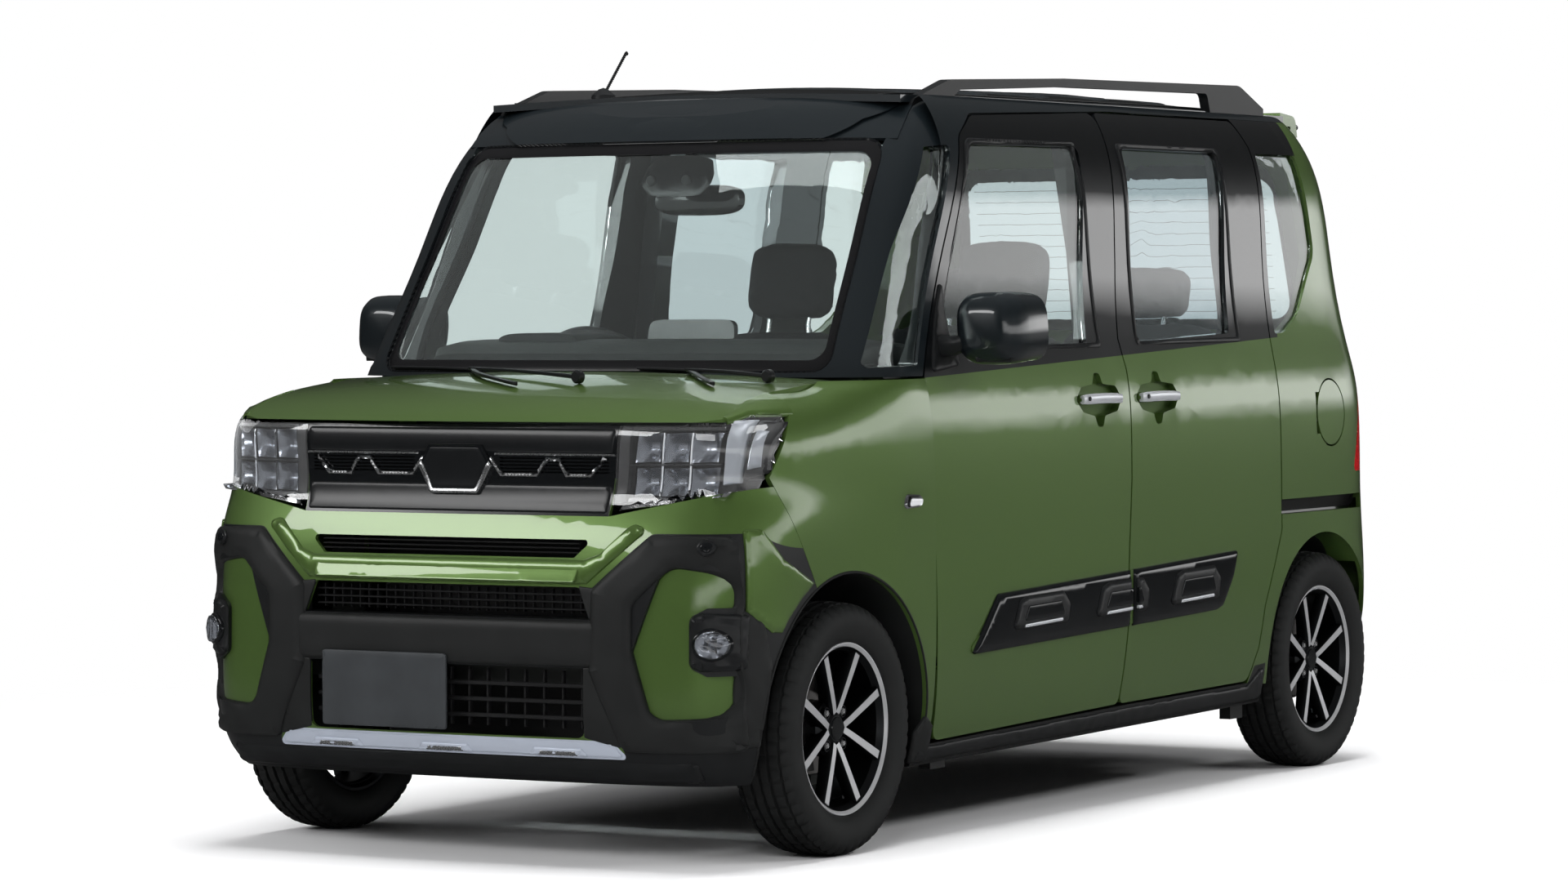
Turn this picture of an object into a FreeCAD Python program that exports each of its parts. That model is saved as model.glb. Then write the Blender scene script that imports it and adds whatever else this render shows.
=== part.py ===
import FreeCAD, Part

import math
import os

from FreeCAD import Placement, Rotation, Vector

# A small tall family car with sliding rear doors.  Millimetres, the ground at Z = 0, the car's nose towards -Y,
# its left side towards +X, the origin midway between the wheels' ground line and the ends of the bumpers.

os.makedirs("parts", exist_ok=True)
doc = FreeCAD.newDocument("kei_car")
sheet = doc.addObject("Spreadsheet::Sheet", "Sizes")

SIZES = {
    # body contour: height, half width, front and rear end of the cabin hull at each level
    "foot_level": 160, "foot_half": 690, "foot_tail": 1600,
    "sill_level": 260, "sill_half": 722, "sill_tail": 1662,
    "bumper_level": 450, "bumper_half": 736, "bumper_tail": 1697.5,
    "waist_level": 700, "waist_half": 737.5, "waist_tail": 1674,
    "shoulder_level": 900, "shoulder_half": 736, "shoulder_tail": 1670,
    "lamp_level": 1000, "lamp_half": 729, "lamp_tail": 1662,
    "belt_level": 1100, "belt_half": 711, "belt_tail": 1642,
    "pane_level": 1330, "pane_half": 683, "pane_tail": 1600,
    "head_level": 1580, "head_half": 650, "head_tail": 1535,
    "gutter_level": 1645, "gutter_half": 618, "gutter_tail": 1508,
    "crown_level": 1690, "crown_half": 575, "crown_tail": 1480,
    "screen_base_y": -1150, "belt_front": -1112, "pane_front": -972, "head_front": -808, "gutter_front": -745,
    "crown_front": -650,
    # nose contour
    "nose_bumper_y": -1697.5, "nose_foot_y": -1632, "nose_sill_y": -1688, "nose_bar_y": -1690,
    "nose_lamp_y": -1658, "nose_brow_y": -1638, "nose_edge_y": -1624, "nose_lip_y": -1566, "nose_top_y": -1420,
    # walls and gaps
    "trim_depth": 24, "inset_depth": 8, "mouth_depth": 42, "louvre_depth": 7, "cladding_height": 3,
    "door_wall": 70, "pillar_wall": 42, "skin": 10, "lamp_depth": 60, "glass_inset": 8, "glass_thickness": 5,
    "shut_gap": 6, "pin_play": 0.1,
    # wheels
    "front_axle_y": -1181.5, "rear_axle_y": 1278.5, "half_track": 650, "wheel_radius": 278.5, "tyre_width": 155,
    "rim_face": 60, "rim_seat_radius": 181, "hub_bore": 20,
    "front_arch_radius": 336, "rear_arch_radius": 328, "front_arch_z": 283, "rear_arch_z": 281,
    "spoke_depth": 26, "liner_wall": 6, "liner_inner_x": 404,
    # doors, lids
    "door_axis_x": 718, "door_axis_y": -754, "hinge_radius": 5, "hinge_height": 60,
    "hinge_low_z": 400, "hinge_high_z": 850,
    "gate_front_y": 1406, "gate_axis_y": 1403, "gate_axis_z": 1702, "gate_pin": 4,
    "bonnet_axis_y": -1090, "bonnet_axis_z": 1024, "bonnet_pin": 5,
    "fuel_lid_radius": 84, "fuel_lid_y": 1327, "fuel_lid_z": 918, "fuel_axis_x": 721, "fuel_axis_y": 1249,
    "fuel_pin": 2.5,
    # roof
    "roof_half": 560, "roof_thickness": 17, "rail_inner_x": 540, "rail_outer_x": 566,
    # mirrors
    "mirror_outer_x": 905, "mirror_front_y": -746, "mirror_rear_y": -580, "mirror_z": 1151,
    # jacking faces under the sills
    "jack_x": 660, "jack_front_y": -700, "jack_rear_y": 860, "jack_z": 152,
    # floor
    "floor_z": 190, "floor_thickness": 34, "rear_floor_z": 430, "firewall_y": -880, "riser_y": 975,
    # seats and steering
    "seat_half": 250, "seat_x": 330, "wheel_tilt": 28, "steering_radius": 180,
    "steering_x": -340, "steering_y": -500, "steering_z": 985,
    # antenna
    "antenna_x": -380, "antenna_y": -440, "antenna_length": 160,
}

for row, (alias, number) in enumerate(SIZES.items(), start=1):
    sheet.set(f"A{row}", alias)
    sheet.set(f"B{row}", str(number))
    sheet.setAlias(f"B{row}", alias)
doc.recompute()


def size(alias):
    return float(sheet.get(alias))


PLANES = {
    "YZ": (Rotation(0.5, 0.5, 0.5, 0.5), "x", Vector(1, 0, 0)),
    "XZ": (Rotation(Vector(1, 0, 0), 90), "y", Vector(0, 1, 0)),
    "XY": (Rotation(), "z", Vector(0, 0, 1)),
}


def outline(corners):
    """Closed outline through (u, v) or (u, v, radius) corners, as lines and tangent arcs."""
    count = len(corners)
    entries = []
    exits = []
    arcs = []
    for index, corner in enumerate(corners):
        here = Vector(corner[0], corner[1], 0)
        radius = corner[2] if len(corner) > 2 else 0
        if not radius:
            entries.append(here)
            exits.append(here)
            arcs.append(None)
            continue
        back = (Vector(*corners[index - 1][:2], 0) - here).normalize()
        ahead = (Vector(*corners[(index + 1) % count][:2], 0) - here).normalize()
        half = back.getAngle(ahead) / 2
        reach = radius / math.tan(half)
        centre = here + (back + ahead).normalize() * (radius / math.sin(half))
        middle = centre + (here - centre).normalize() * radius
        entries.append(here + back * reach)
        exits.append(here + ahead * reach)
        arcs.append(Part.Arc(entries[-1], middle, exits[-1]))
    edges = []
    for index in range(count):
        if arcs[index]:
            edges.append(arcs[index])
        following = (index + 1) % count
        if exits[index].distanceToPoint(entries[following]) > 0.001:
            edges.append(Part.LineSegment(exits[index], entries[following]))
    return edges


def both_sides(corners):
    """Left half of a symmetric outline, from bottom to top, with its right half added."""
    return corners + [(-corner[0], *corner[1:]) for corner in reversed(corners)]


def sketch(label, plane, edges, height):
    rotation, letter, _ = PLANES[plane]
    item = doc.addObject("Sketcher::SketchObject", label)
    item.Placement = Placement(Vector(), rotation)
    item.addGeometry(edges, False)
    item.setExpression(f"Placement.Base.{letter}", height)
    return item


def prism(label, plane, corners, start, stop):
    """Outline on a plane, drawn out from one expression to another along the plane's normal."""
    item = doc.addObject("Part::Extrusion", label)
    item.Base = sketch(label + "_outline", plane, outline(corners), start)
    item.DirMode = "Custom"
    item.Dir = PLANES[plane][2]
    item.Solid = True
    item.setExpression("LengthFwd", f"({stop}) - ({start})")
    return item


def box(label, low, high):
    """Box between two corners, each a triple of expressions."""
    item = doc.addObject("Part::Box", label)
    for name, letter, start, stop in zip(("Length", "Width", "Height"), "xyz", low, high):
        item.setExpression(name, f"({stop}) - ({start})")
        item.setExpression(f"Placement.Base.{letter}", start)
    return item


def cylinder(label, centre, axis, radius, length):
    """Cylinder from its first end's centre along an axis."""
    item = doc.addObject("Part::Cylinder", label)
    item.Placement = Placement(Vector(), Rotation(Vector(0, 0, 1), Vector(*axis)))
    for letter, place in zip("xyz", centre):
        item.setExpression(f"Placement.Base.{letter}", place)
    item.setExpression("Radius", radius)
    item.setExpression("Height", length)
    return item


def common(label, first, second):
    item = doc.addObject("Part::Common", label)
    item.Base = first
    item.Tool = second
    return item


def cut(label, base, *tools):
    for index, tool in enumerate(tools):
        item = doc.addObject("Part::Cut", label if index == len(tools) - 1 else f"{label}_cut_{index}")
        item.Base = base
        item.Tool = tool
        base = item
    return base


def fuse(label, *shapes):
    item = doc.addObject("Part::MultiFuse", label)
    item.Shapes = list(shapes)
    return item


def group(label, *shapes):
    item = doc.addObject("Part::Compound", label)
    item.Links = list(shapes)
    return item


def mirror(label, source):
    item = doc.addObject("Part::Mirroring", label)
    item.Source = source
    item.Normal = Vector(1, 0, 0)
    return item


def pair(label, source):
    return group(label, source, mirror(label + "_right", source))


parts = {}


def keep(name, item):
    item.Label = name
    parts[name] = item
    return item


# Horizontal sections of the body

HULL_LEVELS = [
    ("foot", "screen_base_y"), ("sill", "screen_base_y"), ("bumper", "screen_base_y"), ("waist", "screen_base_y"),
    ("shoulder", "screen_base_y"), ("lamp", "screen_base_y"), ("belt", "belt_front"), ("pane", "pane_front"),
    ("head", "head_front"), ("gutter", "gutter_front"), ("crown", "crown_front"),
]
SCREEN_BOW = [(0.0, 0), (0.4, 12), (0.7, 45), (0.88, 88), (0.95, 135), (0.98, 200)]
TAIL_BOW = [(0.985, 240), (0.972, 150), (0.93, 85), (0.84, 40), (0.5, 8), (0.0, 0)]
FLANKS = [(0.995, -600), (1.0, 0), (0.998, 600), (0.99, 1200)]


def closed_half(points, start):
    """A left half from nose to tail, closed by its mirror image and begun at one of its points."""
    loop = points + [Vector(-point.x, point.y, 0) for point in reversed(points[1:-1])]
    return loop[start:] + loop[:start]


def stations(points, start):
    """Curve parameters that grow with the root of the distance from point to point."""
    loop = closed_half(points, start)
    values = [0.0]
    for here, following in zip(loop, loop[1:] + loop[:1]):
        values.append(values[-1] + math.sqrt(here.distanceToPoint(following)))
    return values


def ring(points, start, parameters):
    """Closed smooth curve through the points of a left half and their mirror images."""
    curve = Part.BSplineCurve()
    curve.interpolate(Points=closed_half(points, start), PeriodicFlag=True, Parameters=parameters)
    return curve


def hull_points(level, front, inset):
    half = size(level + "_half") - inset
    nose = size(front) + inset
    tail = size(level + "_tail") - inset
    points = [Vector(half * share, nose + bow, 0) for share, bow in SCREEN_BOW]
    points += [Vector(half * share, y, 0) for share, y in FLANKS]
    points += [Vector(half * share, tail - bow, 0) for share, bow in TAIL_BOW]
    return points


def loft(label, sections):
    item = doc.addObject("Part::Loft", label)
    item.Sections = sections
    item.Solid = True
    item.Ruled = False
    return item


def hull(label, low_inset, high_inset, drop):
    """Cabin hull, set in from the outer surface by one depth below the belt and another above it."""
    start = 1 - len(SCREEN_BOW)
    parameters = stations(hull_points("shoulder", "screen_base_y", 0), start)
    sections = []
    for level, front in HULL_LEVELS:
        inset = low_inset if size(level + "_level") < size("belt_level") else high_inset
        lowered = drop if level == "crown" else 0
        curve = ring(hull_points(level, front, inset), start, parameters)
        sections.append(sketch(f"{label}_{level}", "XY", [curve], f"Sizes.{level}_level - {lowered}"))
    return loft(label, sections)


NOSE_BOW = [(0.0, 0), (0.545, 9), (0.76, 25), (0.875, 48), (0.936, 88), (0.975, 150)]


def nose_points(halves, front, inset):
    door_half, axle_half, corner_half = [half - inset for half in halves]
    points = [Vector(corner_half * share, front + inset + depth, 0) for share, depth in NOSE_BOW]
    points.append(Vector(corner_half, min(front + inset + 250, -1250), 0))
    points.append(Vector(axle_half, size("front_axle_y"), 0))
    points += [Vector(door_half, y, 0) for y in (-960, -800, -600)]
    points += [Vector(door_half * share, y - inset, 0) for share, y in ((0.95, -450), (0.6, -350), (0, -300))]
    return points


NOSE_LEVELS = [
    (180, (700, 690, 684), "nose_foot_y"), (260, (721, 712, 705), "nose_sill_y"),
    (430, (735, 725, 718), "nose_bumper_y"), (620, (736, 727, 720), "nose_bar_y"),
    (755, (736, 727, 719), "nose_lamp_y"), (880, (735, 725, 713), "nose_brow_y"),
    (962, (731, 718, 700), "nose_edge_y"), (1005, (727, 702, 668), "nose_lip_y"),
    (1040, (719, 655, 560), "nose_top_y"),
]


def nose(label, inset, drop):
    reference = nose_points(NOSE_LEVELS[3][1], size(NOSE_LEVELS[3][2]), 0)
    start = len(reference) - 1
    parameters = stations(reference, start)
    sections = []
    for index, (level_z, halves, front) in enumerate(NOSE_LEVELS):
        lowered = drop if index == len(NOSE_LEVELS) - 1 else 0
        curve = ring(nose_points(halves, size(front), inset), start, parameters)
        sections.append(sketch(f"{label}_{index}", "XY", [curve], f"{level_z} - {lowered}"))
    return loft(label, sections)


hull_outer = hull("hull_outer", 0, 0, 0)
hull_inner = hull("hull_inner", size("door_wall"), size("pillar_wall"), 12)
hull_skin = hull("hull_skin", size("skin"), size("skin"), 12)
pane_outer = hull("pane_outer", size("glass_inset"), size("glass_inset"), 4)
pane_inset = size("glass_inset") + size("glass_thickness")
pane_inner = hull("pane_inner", pane_inset, pane_inset, 8)
nose_outer = nose("nose_outer", 0, 0)
nose_inner = nose("nose_inner", size("skin"), size("skin"))
nose_core = nose("nose_core", size("lamp_depth"), size("lamp_depth"))
wall = cut("wall", hull_outer, hull_inner)
tail_skin = cut("tail_skin", hull_outer, hull_skin)
pane = cut("pane", pane_outer, pane_inner)
nose_skin = cut("nose_skin", nose_outer, nose_inner)
nose_shell = cut("nose_shell", nose_outer, nose_core)
trim_shell = cut("trim_shell", nose_outer, nose("trim_core", size("trim_depth"), size("trim_depth")))
louvre_layer = cut("louvre_layer", nose_outer, nose("louvre_core", size("louvre_depth"), size("louvre_depth")))
inset_layer = cut("inset_layer", nose("inset_face", size("inset_depth"), size("inset_depth")),
                  nose("inset_back", size("inset_depth") + size("skin"), size("inset_depth") + size("skin")))
mouth_layer = cut("mouth_layer", nose("mouth_face", size("mouth_depth"), size("mouth_depth")), nose_core)
cladding_face = group("cladding_face", hull_outer)
cladding_face.setExpression("Placement.Base.x", "Sizes.cladding_height")
cladding_layer = cut("cladding_layer", cladding_face, hull_skin)

# Outlines of the openings, side view: (Y, Z)

DOOR_FRONT = [(-791, 222, 30), (-791, 332), (-805, 689), (-812, 921), (-826, 1043, 20), (-524, 1595, 60)]
DOOR_TOP = [(-425, 1644, 60), (215, 1668, 25)]
DOOR_REAR = [(202, 1590), (188, 1480), (173, 1300), (143, 1120), (160, 1046, 30), (156, 779), (138, 560), (138, 421),
             (112, 243, 20)]
SLIDE_REAR = [(834, 250, 40), (885, 332, 60), (914, 439), (967, 537, 60), (1012, 625, 30), (1008, 904, 60),
              (1004, 1114), (1019, 1600, 30), (990, 1668, 20)]


def shifted(corners, step_y, step_z=0):
    return [(corner[0] + step_y, corner[1] + step_z, *corner[2:]) for corner in corners]


def left_prism(label, corners, start="300", stop="800"):
    return prism(label, "YZ", corners, start, stop)


def glass(label, corners):
    return common(label, pane, left_prism(label + "_area", corners))


gap = size("shut_gap")
door_edge = DOOR_FRONT + DOOR_TOP + DOOR_REAR
slide_edge = shifted(list(reversed(DOOR_REAR)), gap) + shifted(DOOR_TOP[-1:], gap) + list(reversed(SLIDE_REAR))
door_window = [(-748, 1112, 20), (-500, 1560, 30), (-478, 1578, 20), (48, 1582, 20), (-22, 1104, 20)]
slide_window = [(248, 1112, 20), (278, 1583, 20), (818, 1583, 20), (770, 1128, 20)]
front_quarter_window = [(-1022, 1066, 10), (-848, 1330), (-668, 1566, 10), (-580, 1574, 12), (-846, 1070, 12)]
rear_quarter_window = [(1040, 1124, 12), (1044, 1586, 16), (1290, 1586, 20), (1338, 1330, 60), (1200, 1172, 120),
                       (1100, 1128, 80)]

# Front doors

HINGES = ("low", "high")


def hinge_axis(place, rise):
    return ("Sizes.door_axis_x", "Sizes.door_axis_y", f"Sizes.hinge_{place}_z - {rise}")


def hinge_notch(place):
    """Room in the door for the body's hinge arm and its turn."""
    return box(f"hinge_notch_{place}", ("600", "Sizes.door_axis_y - 100", f"Sizes.hinge_{place}_z - 16"),
               ("Sizes.door_axis_x + 9", "Sizes.door_axis_y + 14", f"Sizes.hinge_{place}_z + 16"))


def hinge_bore(place):
    return cylinder(f"hinge_bore_{place}", hinge_axis(place, "Sizes.hinge_height / 2"), (0, 0, 1),
                    "Sizes.hinge_radius + Sizes.pin_play", "Sizes.hinge_height")


HANDLE_CUPS = {"door": (0, 978), "slide": (310, 978)}
HANDLE_CUP = [(-118, 0, 10), (-84, -30, 16), (-26, -40, 12), (-12, -66, 14), (16, -66, 14), (26, -40, 12),
              (92, -30, 16), (118, 0, 10), (92, 30, 16), (26, 36, 12), (16, 62, 14), (-12, 62, 14), (-26, 36, 12),
              (-84, 30, 16)]
HANDLE_BAR = [(-100, -10, 8), (-100, 10, 8), (100, 10, 8), (100, -10, 8)]
CLADDING = [(-650, 421, 8), (-466, 541, 14), (730, 586, 6), (703, 520, 12), (623, 461, 14), (516, 445, 14),
            (-627, 411, 8)]


def moved(corners, step):
    return [(corner[0] + step[0], corner[1] + step[1], *corner[2:]) for corner in corners]


def handle_cup(name):
    """Hollow behind the door handle, a long room with a wider finger pocket at its middle."""
    return prism(f"{name}_handle_cup", "YZ", moved(HANDLE_CUP, HANDLE_CUPS[name]), "Sizes.shoulder_half - 24", "800")


def handle_bar(name):
    """Grip across the hollow, carried at both ends."""
    place = HANDLE_CUPS[name]
    grip = prism(f"{name}_handle_grip", "YZ", moved(HANDLE_BAR, place), "Sizes.shoulder_half - 14",
                 "Sizes.shoulder_half + 1")
    feet = [box(f"{name}_handle_foot_{end}", ("Sizes.shoulder_half - 30", f"{place[0] + middle - 14}",
                                              f"{place[1] - 8}"),
                ("Sizes.shoulder_half - 10", f"{place[0] + middle + 14}", f"{place[1] + 8}"))
            for end, middle in (("front", -84), ("rear", 84))]
    return [grip] + feet


cladding = common("cladding", cladding_layer, left_prism("cladding_area", CLADDING))
door_outer = left_prism("door_area", door_edge)
door_blank = common("door_blank", wall, door_outer)
door_cuts = [left_prism("door_window_area", door_window)]
door_cuts += [hinge_notch(place) for place in HINGES] + [hinge_bore(place) for place in HINGES]
door_cuts.append(handle_cup("door"))
door_cuts.append(box("door_toe", ("600", "-840", "200"), ("665", "160", "232")))
door_left = fuse("door_left_body", cut("door_left_panel", door_blank, *door_cuts),
                 common("door_cladding", cladding, door_outer), *handle_bar("door"))
keep("door_left", door_left)
keep("door_right", mirror("door_right_body", door_left))

door_glass = glass("door_glass_left_body", door_window)
keep("door_glass_left", door_glass)
keep("door_glass_right", mirror("door_glass_right_body", door_glass))

mirror_foot = box("mirror_foot", ("690", "-756", "1088"), ("Sizes.mirror_outer_x - 100", "-690", "1128"))
MIRROR = [(-157, -75, 20), (-155, 40, 40), (-115, 75, 34), (-25, 71, 26), (0, 30, 30), (-7, -73, 28)]
MIRROR_SECTIONS = {"front": ("Sizes.mirror_front_y", 0.66), "brow": ("Sizes.mirror_front_y + 26", 0.9),
                   "middle": ("Sizes.mirror_front_y + 76", 1.0), "rear": ("Sizes.mirror_rear_y", 0.95)}


def mirror_section(name):
    place, share = MIRROR_SECTIONS[name]
    middle_x, middle_z = size("mirror_outer_x") - 78, size("mirror_z")
    corners = [(middle_x + (corner_x + 78) * share, middle_z + corner_z * share, radius * share)
               for corner_x, corner_z, radius in MIRROR]
    return sketch(f"mirror_section_{name}", "XZ", outline(corners), place)


mirror_case = loft("mirror_case", [mirror_section(name) for name in MIRROR_SECTIONS])
mirror_body = cut("mirror_left_body", fuse("mirror_left_blank", mirror_foot, mirror_case), hull_outer)
keep("mirror_left", mirror_body)
keep("mirror_right", mirror("mirror_right_body", mirror_body))

# Sliding rear doors

slide_outer = left_prism("slide_area", slide_edge)
slide_blank = common("slide_blank", wall, slide_outer)
slide_panel = cut("slide_panel", slide_blank, left_prism("slide_window_area", slide_window), handle_cup("slide"))
slide_arm = box("slide_arm", ("Sizes.waist_half - 60.7", "960", "672"), ("Sizes.waist_half - 30", "1060", "694"))
slide_left = fuse("slide_left", slide_panel, slide_arm, common("slide_cladding", cladding, slide_outer),
                  *handle_bar("slide"))
keep("sliding_doors", pair("sliding_doors_pair", slide_left))
keep("sliding_door_glass", pair("sliding_door_glass_pair", glass("slide_glass_left", slide_window)))

# Wheel arches


def arch(label, axle, level, radius):
    return cylinder(label, ("360", f"Sizes.{axle}", f"Sizes.{level}"), (1, 0, 0), f"Sizes.{radius}", "500")


front_arch = arch("front_arch", "front_axle_y", "front_arch_z", "front_arch_radius")
rear_arch = arch("rear_arch", "rear_axle_y", "rear_arch_z", "rear_arch_radius")
wheel_house = cylinder("front_wheel_house", ("Sizes.liner_inner_x", "Sizes.front_axle_y", "Sizes.front_arch_z"),
                       (1, 0, 0), "Sizes.front_arch_radius + Sizes.liner_wall", "330")

# Tailgate, tail lamps, rear quarters, rear bumper

GATE = [(572, 702, 50), (592, 1000), (584, 1300), (562, 1560), (548, 1800)]
GATE_GAP = [(corner[0] + gap, corner[1] - (0 if index else gap), *corner[2:]) for index, corner in enumerate(GATE)]
GATE_PANE = [(520, 1130, 60), (486, 1568, 60)]
GATE_TOP = [(1406, 1668), (1406, 1703, 4), (1500, 1694, 30), (1512, 1640), (1470, 1640), (1470, 1668)]
BARRELS = {"inner": (400, 418), "middle": (420, 440), "outer": (442, 460)}


def gate_barrel(name):
    start, stop = BARRELS[name]
    return cylinder(f"gate_barrel_{name}", (f"{start}", "Sizes.gate_axis_y", "Sizes.gate_axis_z"), (1, 0, 0),
                    "Sizes.gate_pin + 3", f"{stop - start}")


def gate_leaf(name, low_y, high_y):
    start, stop = BARRELS[name]
    return box(f"gate_leaf_{name}", (f"{start}", f"Sizes.gate_axis_y {low_y}", "Sizes.gate_axis_z - 14"),
               (f"{stop}", f"Sizes.gate_axis_y {high_y}", "Sizes.gate_axis_z + 2"))


gate_area = prism("gate_area", "XZ", both_sides(GATE), "Sizes.gate_front_y", "1800")
gate_hole = prism("gate_hole", "XZ", both_sides(GATE_GAP), "1396", "1800")
gate_window = prism("gate_window", "XZ", both_sides(GATE_PANE), "1300", "1800")
gate_panel = cut("gate_panel", common("gate_blank", wall, gate_area), gate_window)
gate_top = common("gate_top", prism("gate_top_area", "YZ", GATE_TOP, "-546", "546"), gate_area)
hinge_room = box("gate_hinge_room", ("397", "Sizes.gate_axis_y - 15", "Sizes.gate_axis_z - 16"),
                 ("463", "Sizes.gate_axis_y + 15", "Sizes.gate_axis_z + 20"))
hinge_rooms = fuse("gate_hinge_rooms", hinge_room, mirror("gate_hinge_room_right", hinge_room))
gate_bore = cylinder("gate_bore", ("410", "Sizes.gate_axis_y", "Sizes.gate_axis_z"), (1, 0, 0),
                     "Sizes.gate_pin + Sizes.pin_play", "40")
gate_hinge = cut("gate_hinge", fuse("gate_hinge_blank", gate_barrel("middle"), gate_leaf("middle", "", "+ 40")),
                 gate_bore)
PLATE_ROOM = [(236, 776, 14), (252, 936, 20)]
plate_room = common("plate_room", cut("plate_layer", hull_outer, hull_skin),
                    prism("plate_room_area", "XZ", both_sides(PLATE_ROOM), "1500", "1800"))
gate_full = cut("gate_full", fuse("gate_with_top", gate_panel, gate_top), hinge_rooms, plate_room)
keep("tailgate", fuse("tailgate_body", gate_full, gate_hinge, mirror("gate_hinge_right", gate_hinge)))
keep("tailgate_glass", common("tailgate_glass_body", pane, gate_window))

lamp_area = left_prism("tail_lamp_area", [(1473, 761, 10), (1800, 761), (1800, 1150), (1592, 1150, 20)])
tail_lamp = cut("tail_lamp", common("tail_lamp_blank", wall, lamp_area), gate_hole)
keep("tail_lamps", pair("tail_lamps_pair", tail_lamp))

BUMPER_EDGE = [(1450, 236), (1488, 470), (1548, 700, 12), (1550, 754), (1800, 754), (1800, 150), (1450, 150)]
bumper_area = left_prism("rear_bumper_area", BUMPER_EDGE, "-800")
keep("rear_bumper", cut("rear_bumper_body", common("rear_bumper_blank", tail_skin, bumper_area), gate_hole, rear_arch,
                        mirror("rear_arch_right", rear_arch)))

quarter_edge = [(996, 1673.4)] + shifted(list(reversed(SLIDE_REAR))[1:], gap)
quarter_edge += [(840, 236), (1760, 236), (1760, 1673.4)]
quarter_blank = common("quarter_blank", wall, left_prism("quarter_area", quarter_edge))
rail_slot = box("rail_slot", ("Sizes.waist_half - 72", "1000", "664"), ("800", "1545", "702"))
fuel_hole = cylinder("fuel_hole", ("690", "Sizes.fuel_lid_y", "Sizes.fuel_lid_z"), (1, 0, 0),
                     "Sizes.fuel_lid_radius + 5", "80")
SILL = [(-872, 168), (-872, 258, 12), (-800, 258), (-797, 216), (150, 237), (842, 244), (872, 286), (935, 290),
        (935, 190)]
sill_area = left_prism("sill_area", SILL)
roof_hole = box("roof_hole", ("-Sizes.roof_half", "-1000", "1500"), ("Sizes.roof_half", "1600", "1800"))
quarter_cuts = [left_prism("rear_quarter_window_area", rear_quarter_window), rear_arch, bumper_area, lamp_area,
                gate_hole, roof_hole, sill_area]
quarter = cut("quarter", quarter_blank, *quarter_cuts)
slide_rail = box("slide_rail", ("Sizes.waist_half - 72", "1014", "664"), ("Sizes.waist_half - 61", "1545", "702"))
fuel_ears = [box(f"fuel_ear_{name}", ("688", "Sizes.fuel_axis_y - 3", f"Sizes.fuel_lid_z + {low}"),
                 ("Sizes.fuel_axis_x + 2.5", "Sizes.fuel_axis_y + 3", f"Sizes.fuel_lid_z + {low + 8}"))
             for name, low in (("low", -22), ("high", 14))]
fuel_pin = cylinder("fuel_pin", ("Sizes.fuel_axis_x", "Sizes.fuel_axis_y", "Sizes.fuel_lid_z - 22"), (0, 0, 1),
                    "Sizes.fuel_pin", "44")
fuel_room = box("fuel_room", ("700", "Sizes.fuel_axis_y - 14", "Sizes.fuel_lid_z - 54"),
                ("800", "Sizes.fuel_axis_y + 14", "Sizes.fuel_lid_z + 54"))
quarter_left = fuse("quarter_left", cut("quarter_left_cut", quarter, fuel_hole, fuel_room, rail_slot), *fuel_ears,
                    fuel_pin)
quarter_right = cut("quarter_right", mirror("quarter_mirrored", quarter), mirror("rail_slot_right", rail_slot))
keep("quarters", group("quarters_pair", quarter_left, quarter_right))
rail_trim = common("rail_trim", slide_rail, wall)
keep("slide_rails", pair("slide_rails_pair", rail_trim))
front_quarter_area = left_prism("front_quarter_area", front_quarter_window, "500")
front_quarter_glass = common("front_quarter_glass", pane, front_quarter_area)
keep("fixed_side_glass", group("fixed_side_glass_set", pair("front_quarter_pair", front_quarter_glass),
                               pair("rear_quarter_pair", glass("rear_quarter_glass", rear_quarter_window))))

fuel_disc = cylinder("fuel_disc", ("690", "Sizes.fuel_lid_y", "Sizes.fuel_lid_z"), (1, 0, 0),
                     "Sizes.fuel_lid_radius", "80")
fuel_notches = [box(f"fuel_notch_{name}", ("690", "1230", f"Sizes.fuel_lid_z + {low}"),
                    ("Sizes.fuel_axis_x + 5", "Sizes.fuel_axis_y + 5.5", f"Sizes.fuel_lid_z + {low + 12}"))
                for name, low in (("low", -24), ("high", 12))]
fuel_bore = cylinder("fuel_bore", ("Sizes.fuel_axis_x", "Sizes.fuel_axis_y", "Sizes.fuel_lid_z - 30"), (0, 0, 1),
                     "Sizes.fuel_pin + Sizes.pin_play", "60")
keep("fuel_lid", cut("fuel_lid_body", common("fuel_lid_blank", tail_skin, fuel_disc), *fuel_notches, fuel_bore))

# Pillars, posts and the rail over the doors

SCREEN = [(606, 1056, 40), (566, 1586, 60)]
screen_area = prism("screen_area", "XZ", both_sides(SCREEN), "-1400", "-500")
keep("windscreen", common("windscreen_body", pane, screen_area))

door_frame = shifted(DOOR_FRONT[4:], -gap) + shifted(DOOR_TOP, 0, gap)
pillar_edge = [(-1250, 1046), (door_frame[0][0], 1046)] + door_frame[1:3] + [(300, 1674), (1500, 1674), (1500, 1800),
                                                                         (-1250, 1800)]
pillar_blank = common("pillar_blank", wall, left_prism("pillar_area", pillar_edge))
pillar = cut("pillar", pillar_blank, front_quarter_area, screen_area, roof_hole, gate_hole)
inner_rail = prism("inner_rail", "XZ", [(512, 1668), (512, 1622), (546, 1622), (538, 1668)], "-520", "1300")
rail_link = box("rail_link", ("530", "-520", "1652"), ("590", "-440", "1670"))
b_post = prism("b_post", "XZ", [(600, 224), (632, 224), (655, 450), (655, 900), (648, 1100), (630, 1330), (597, 1580),
                                (562, 1640), (530, 1640), (580, 1330), (600, 1100)], "118", "192")
a_post = box("a_post", ("590", "-870", "258.4"), ("638", "-822", "1070"))
a_knee = box("a_knee", ("590", "-950", "1042"), ("680", "-838", "1070"))
hinge_arms = []
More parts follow.
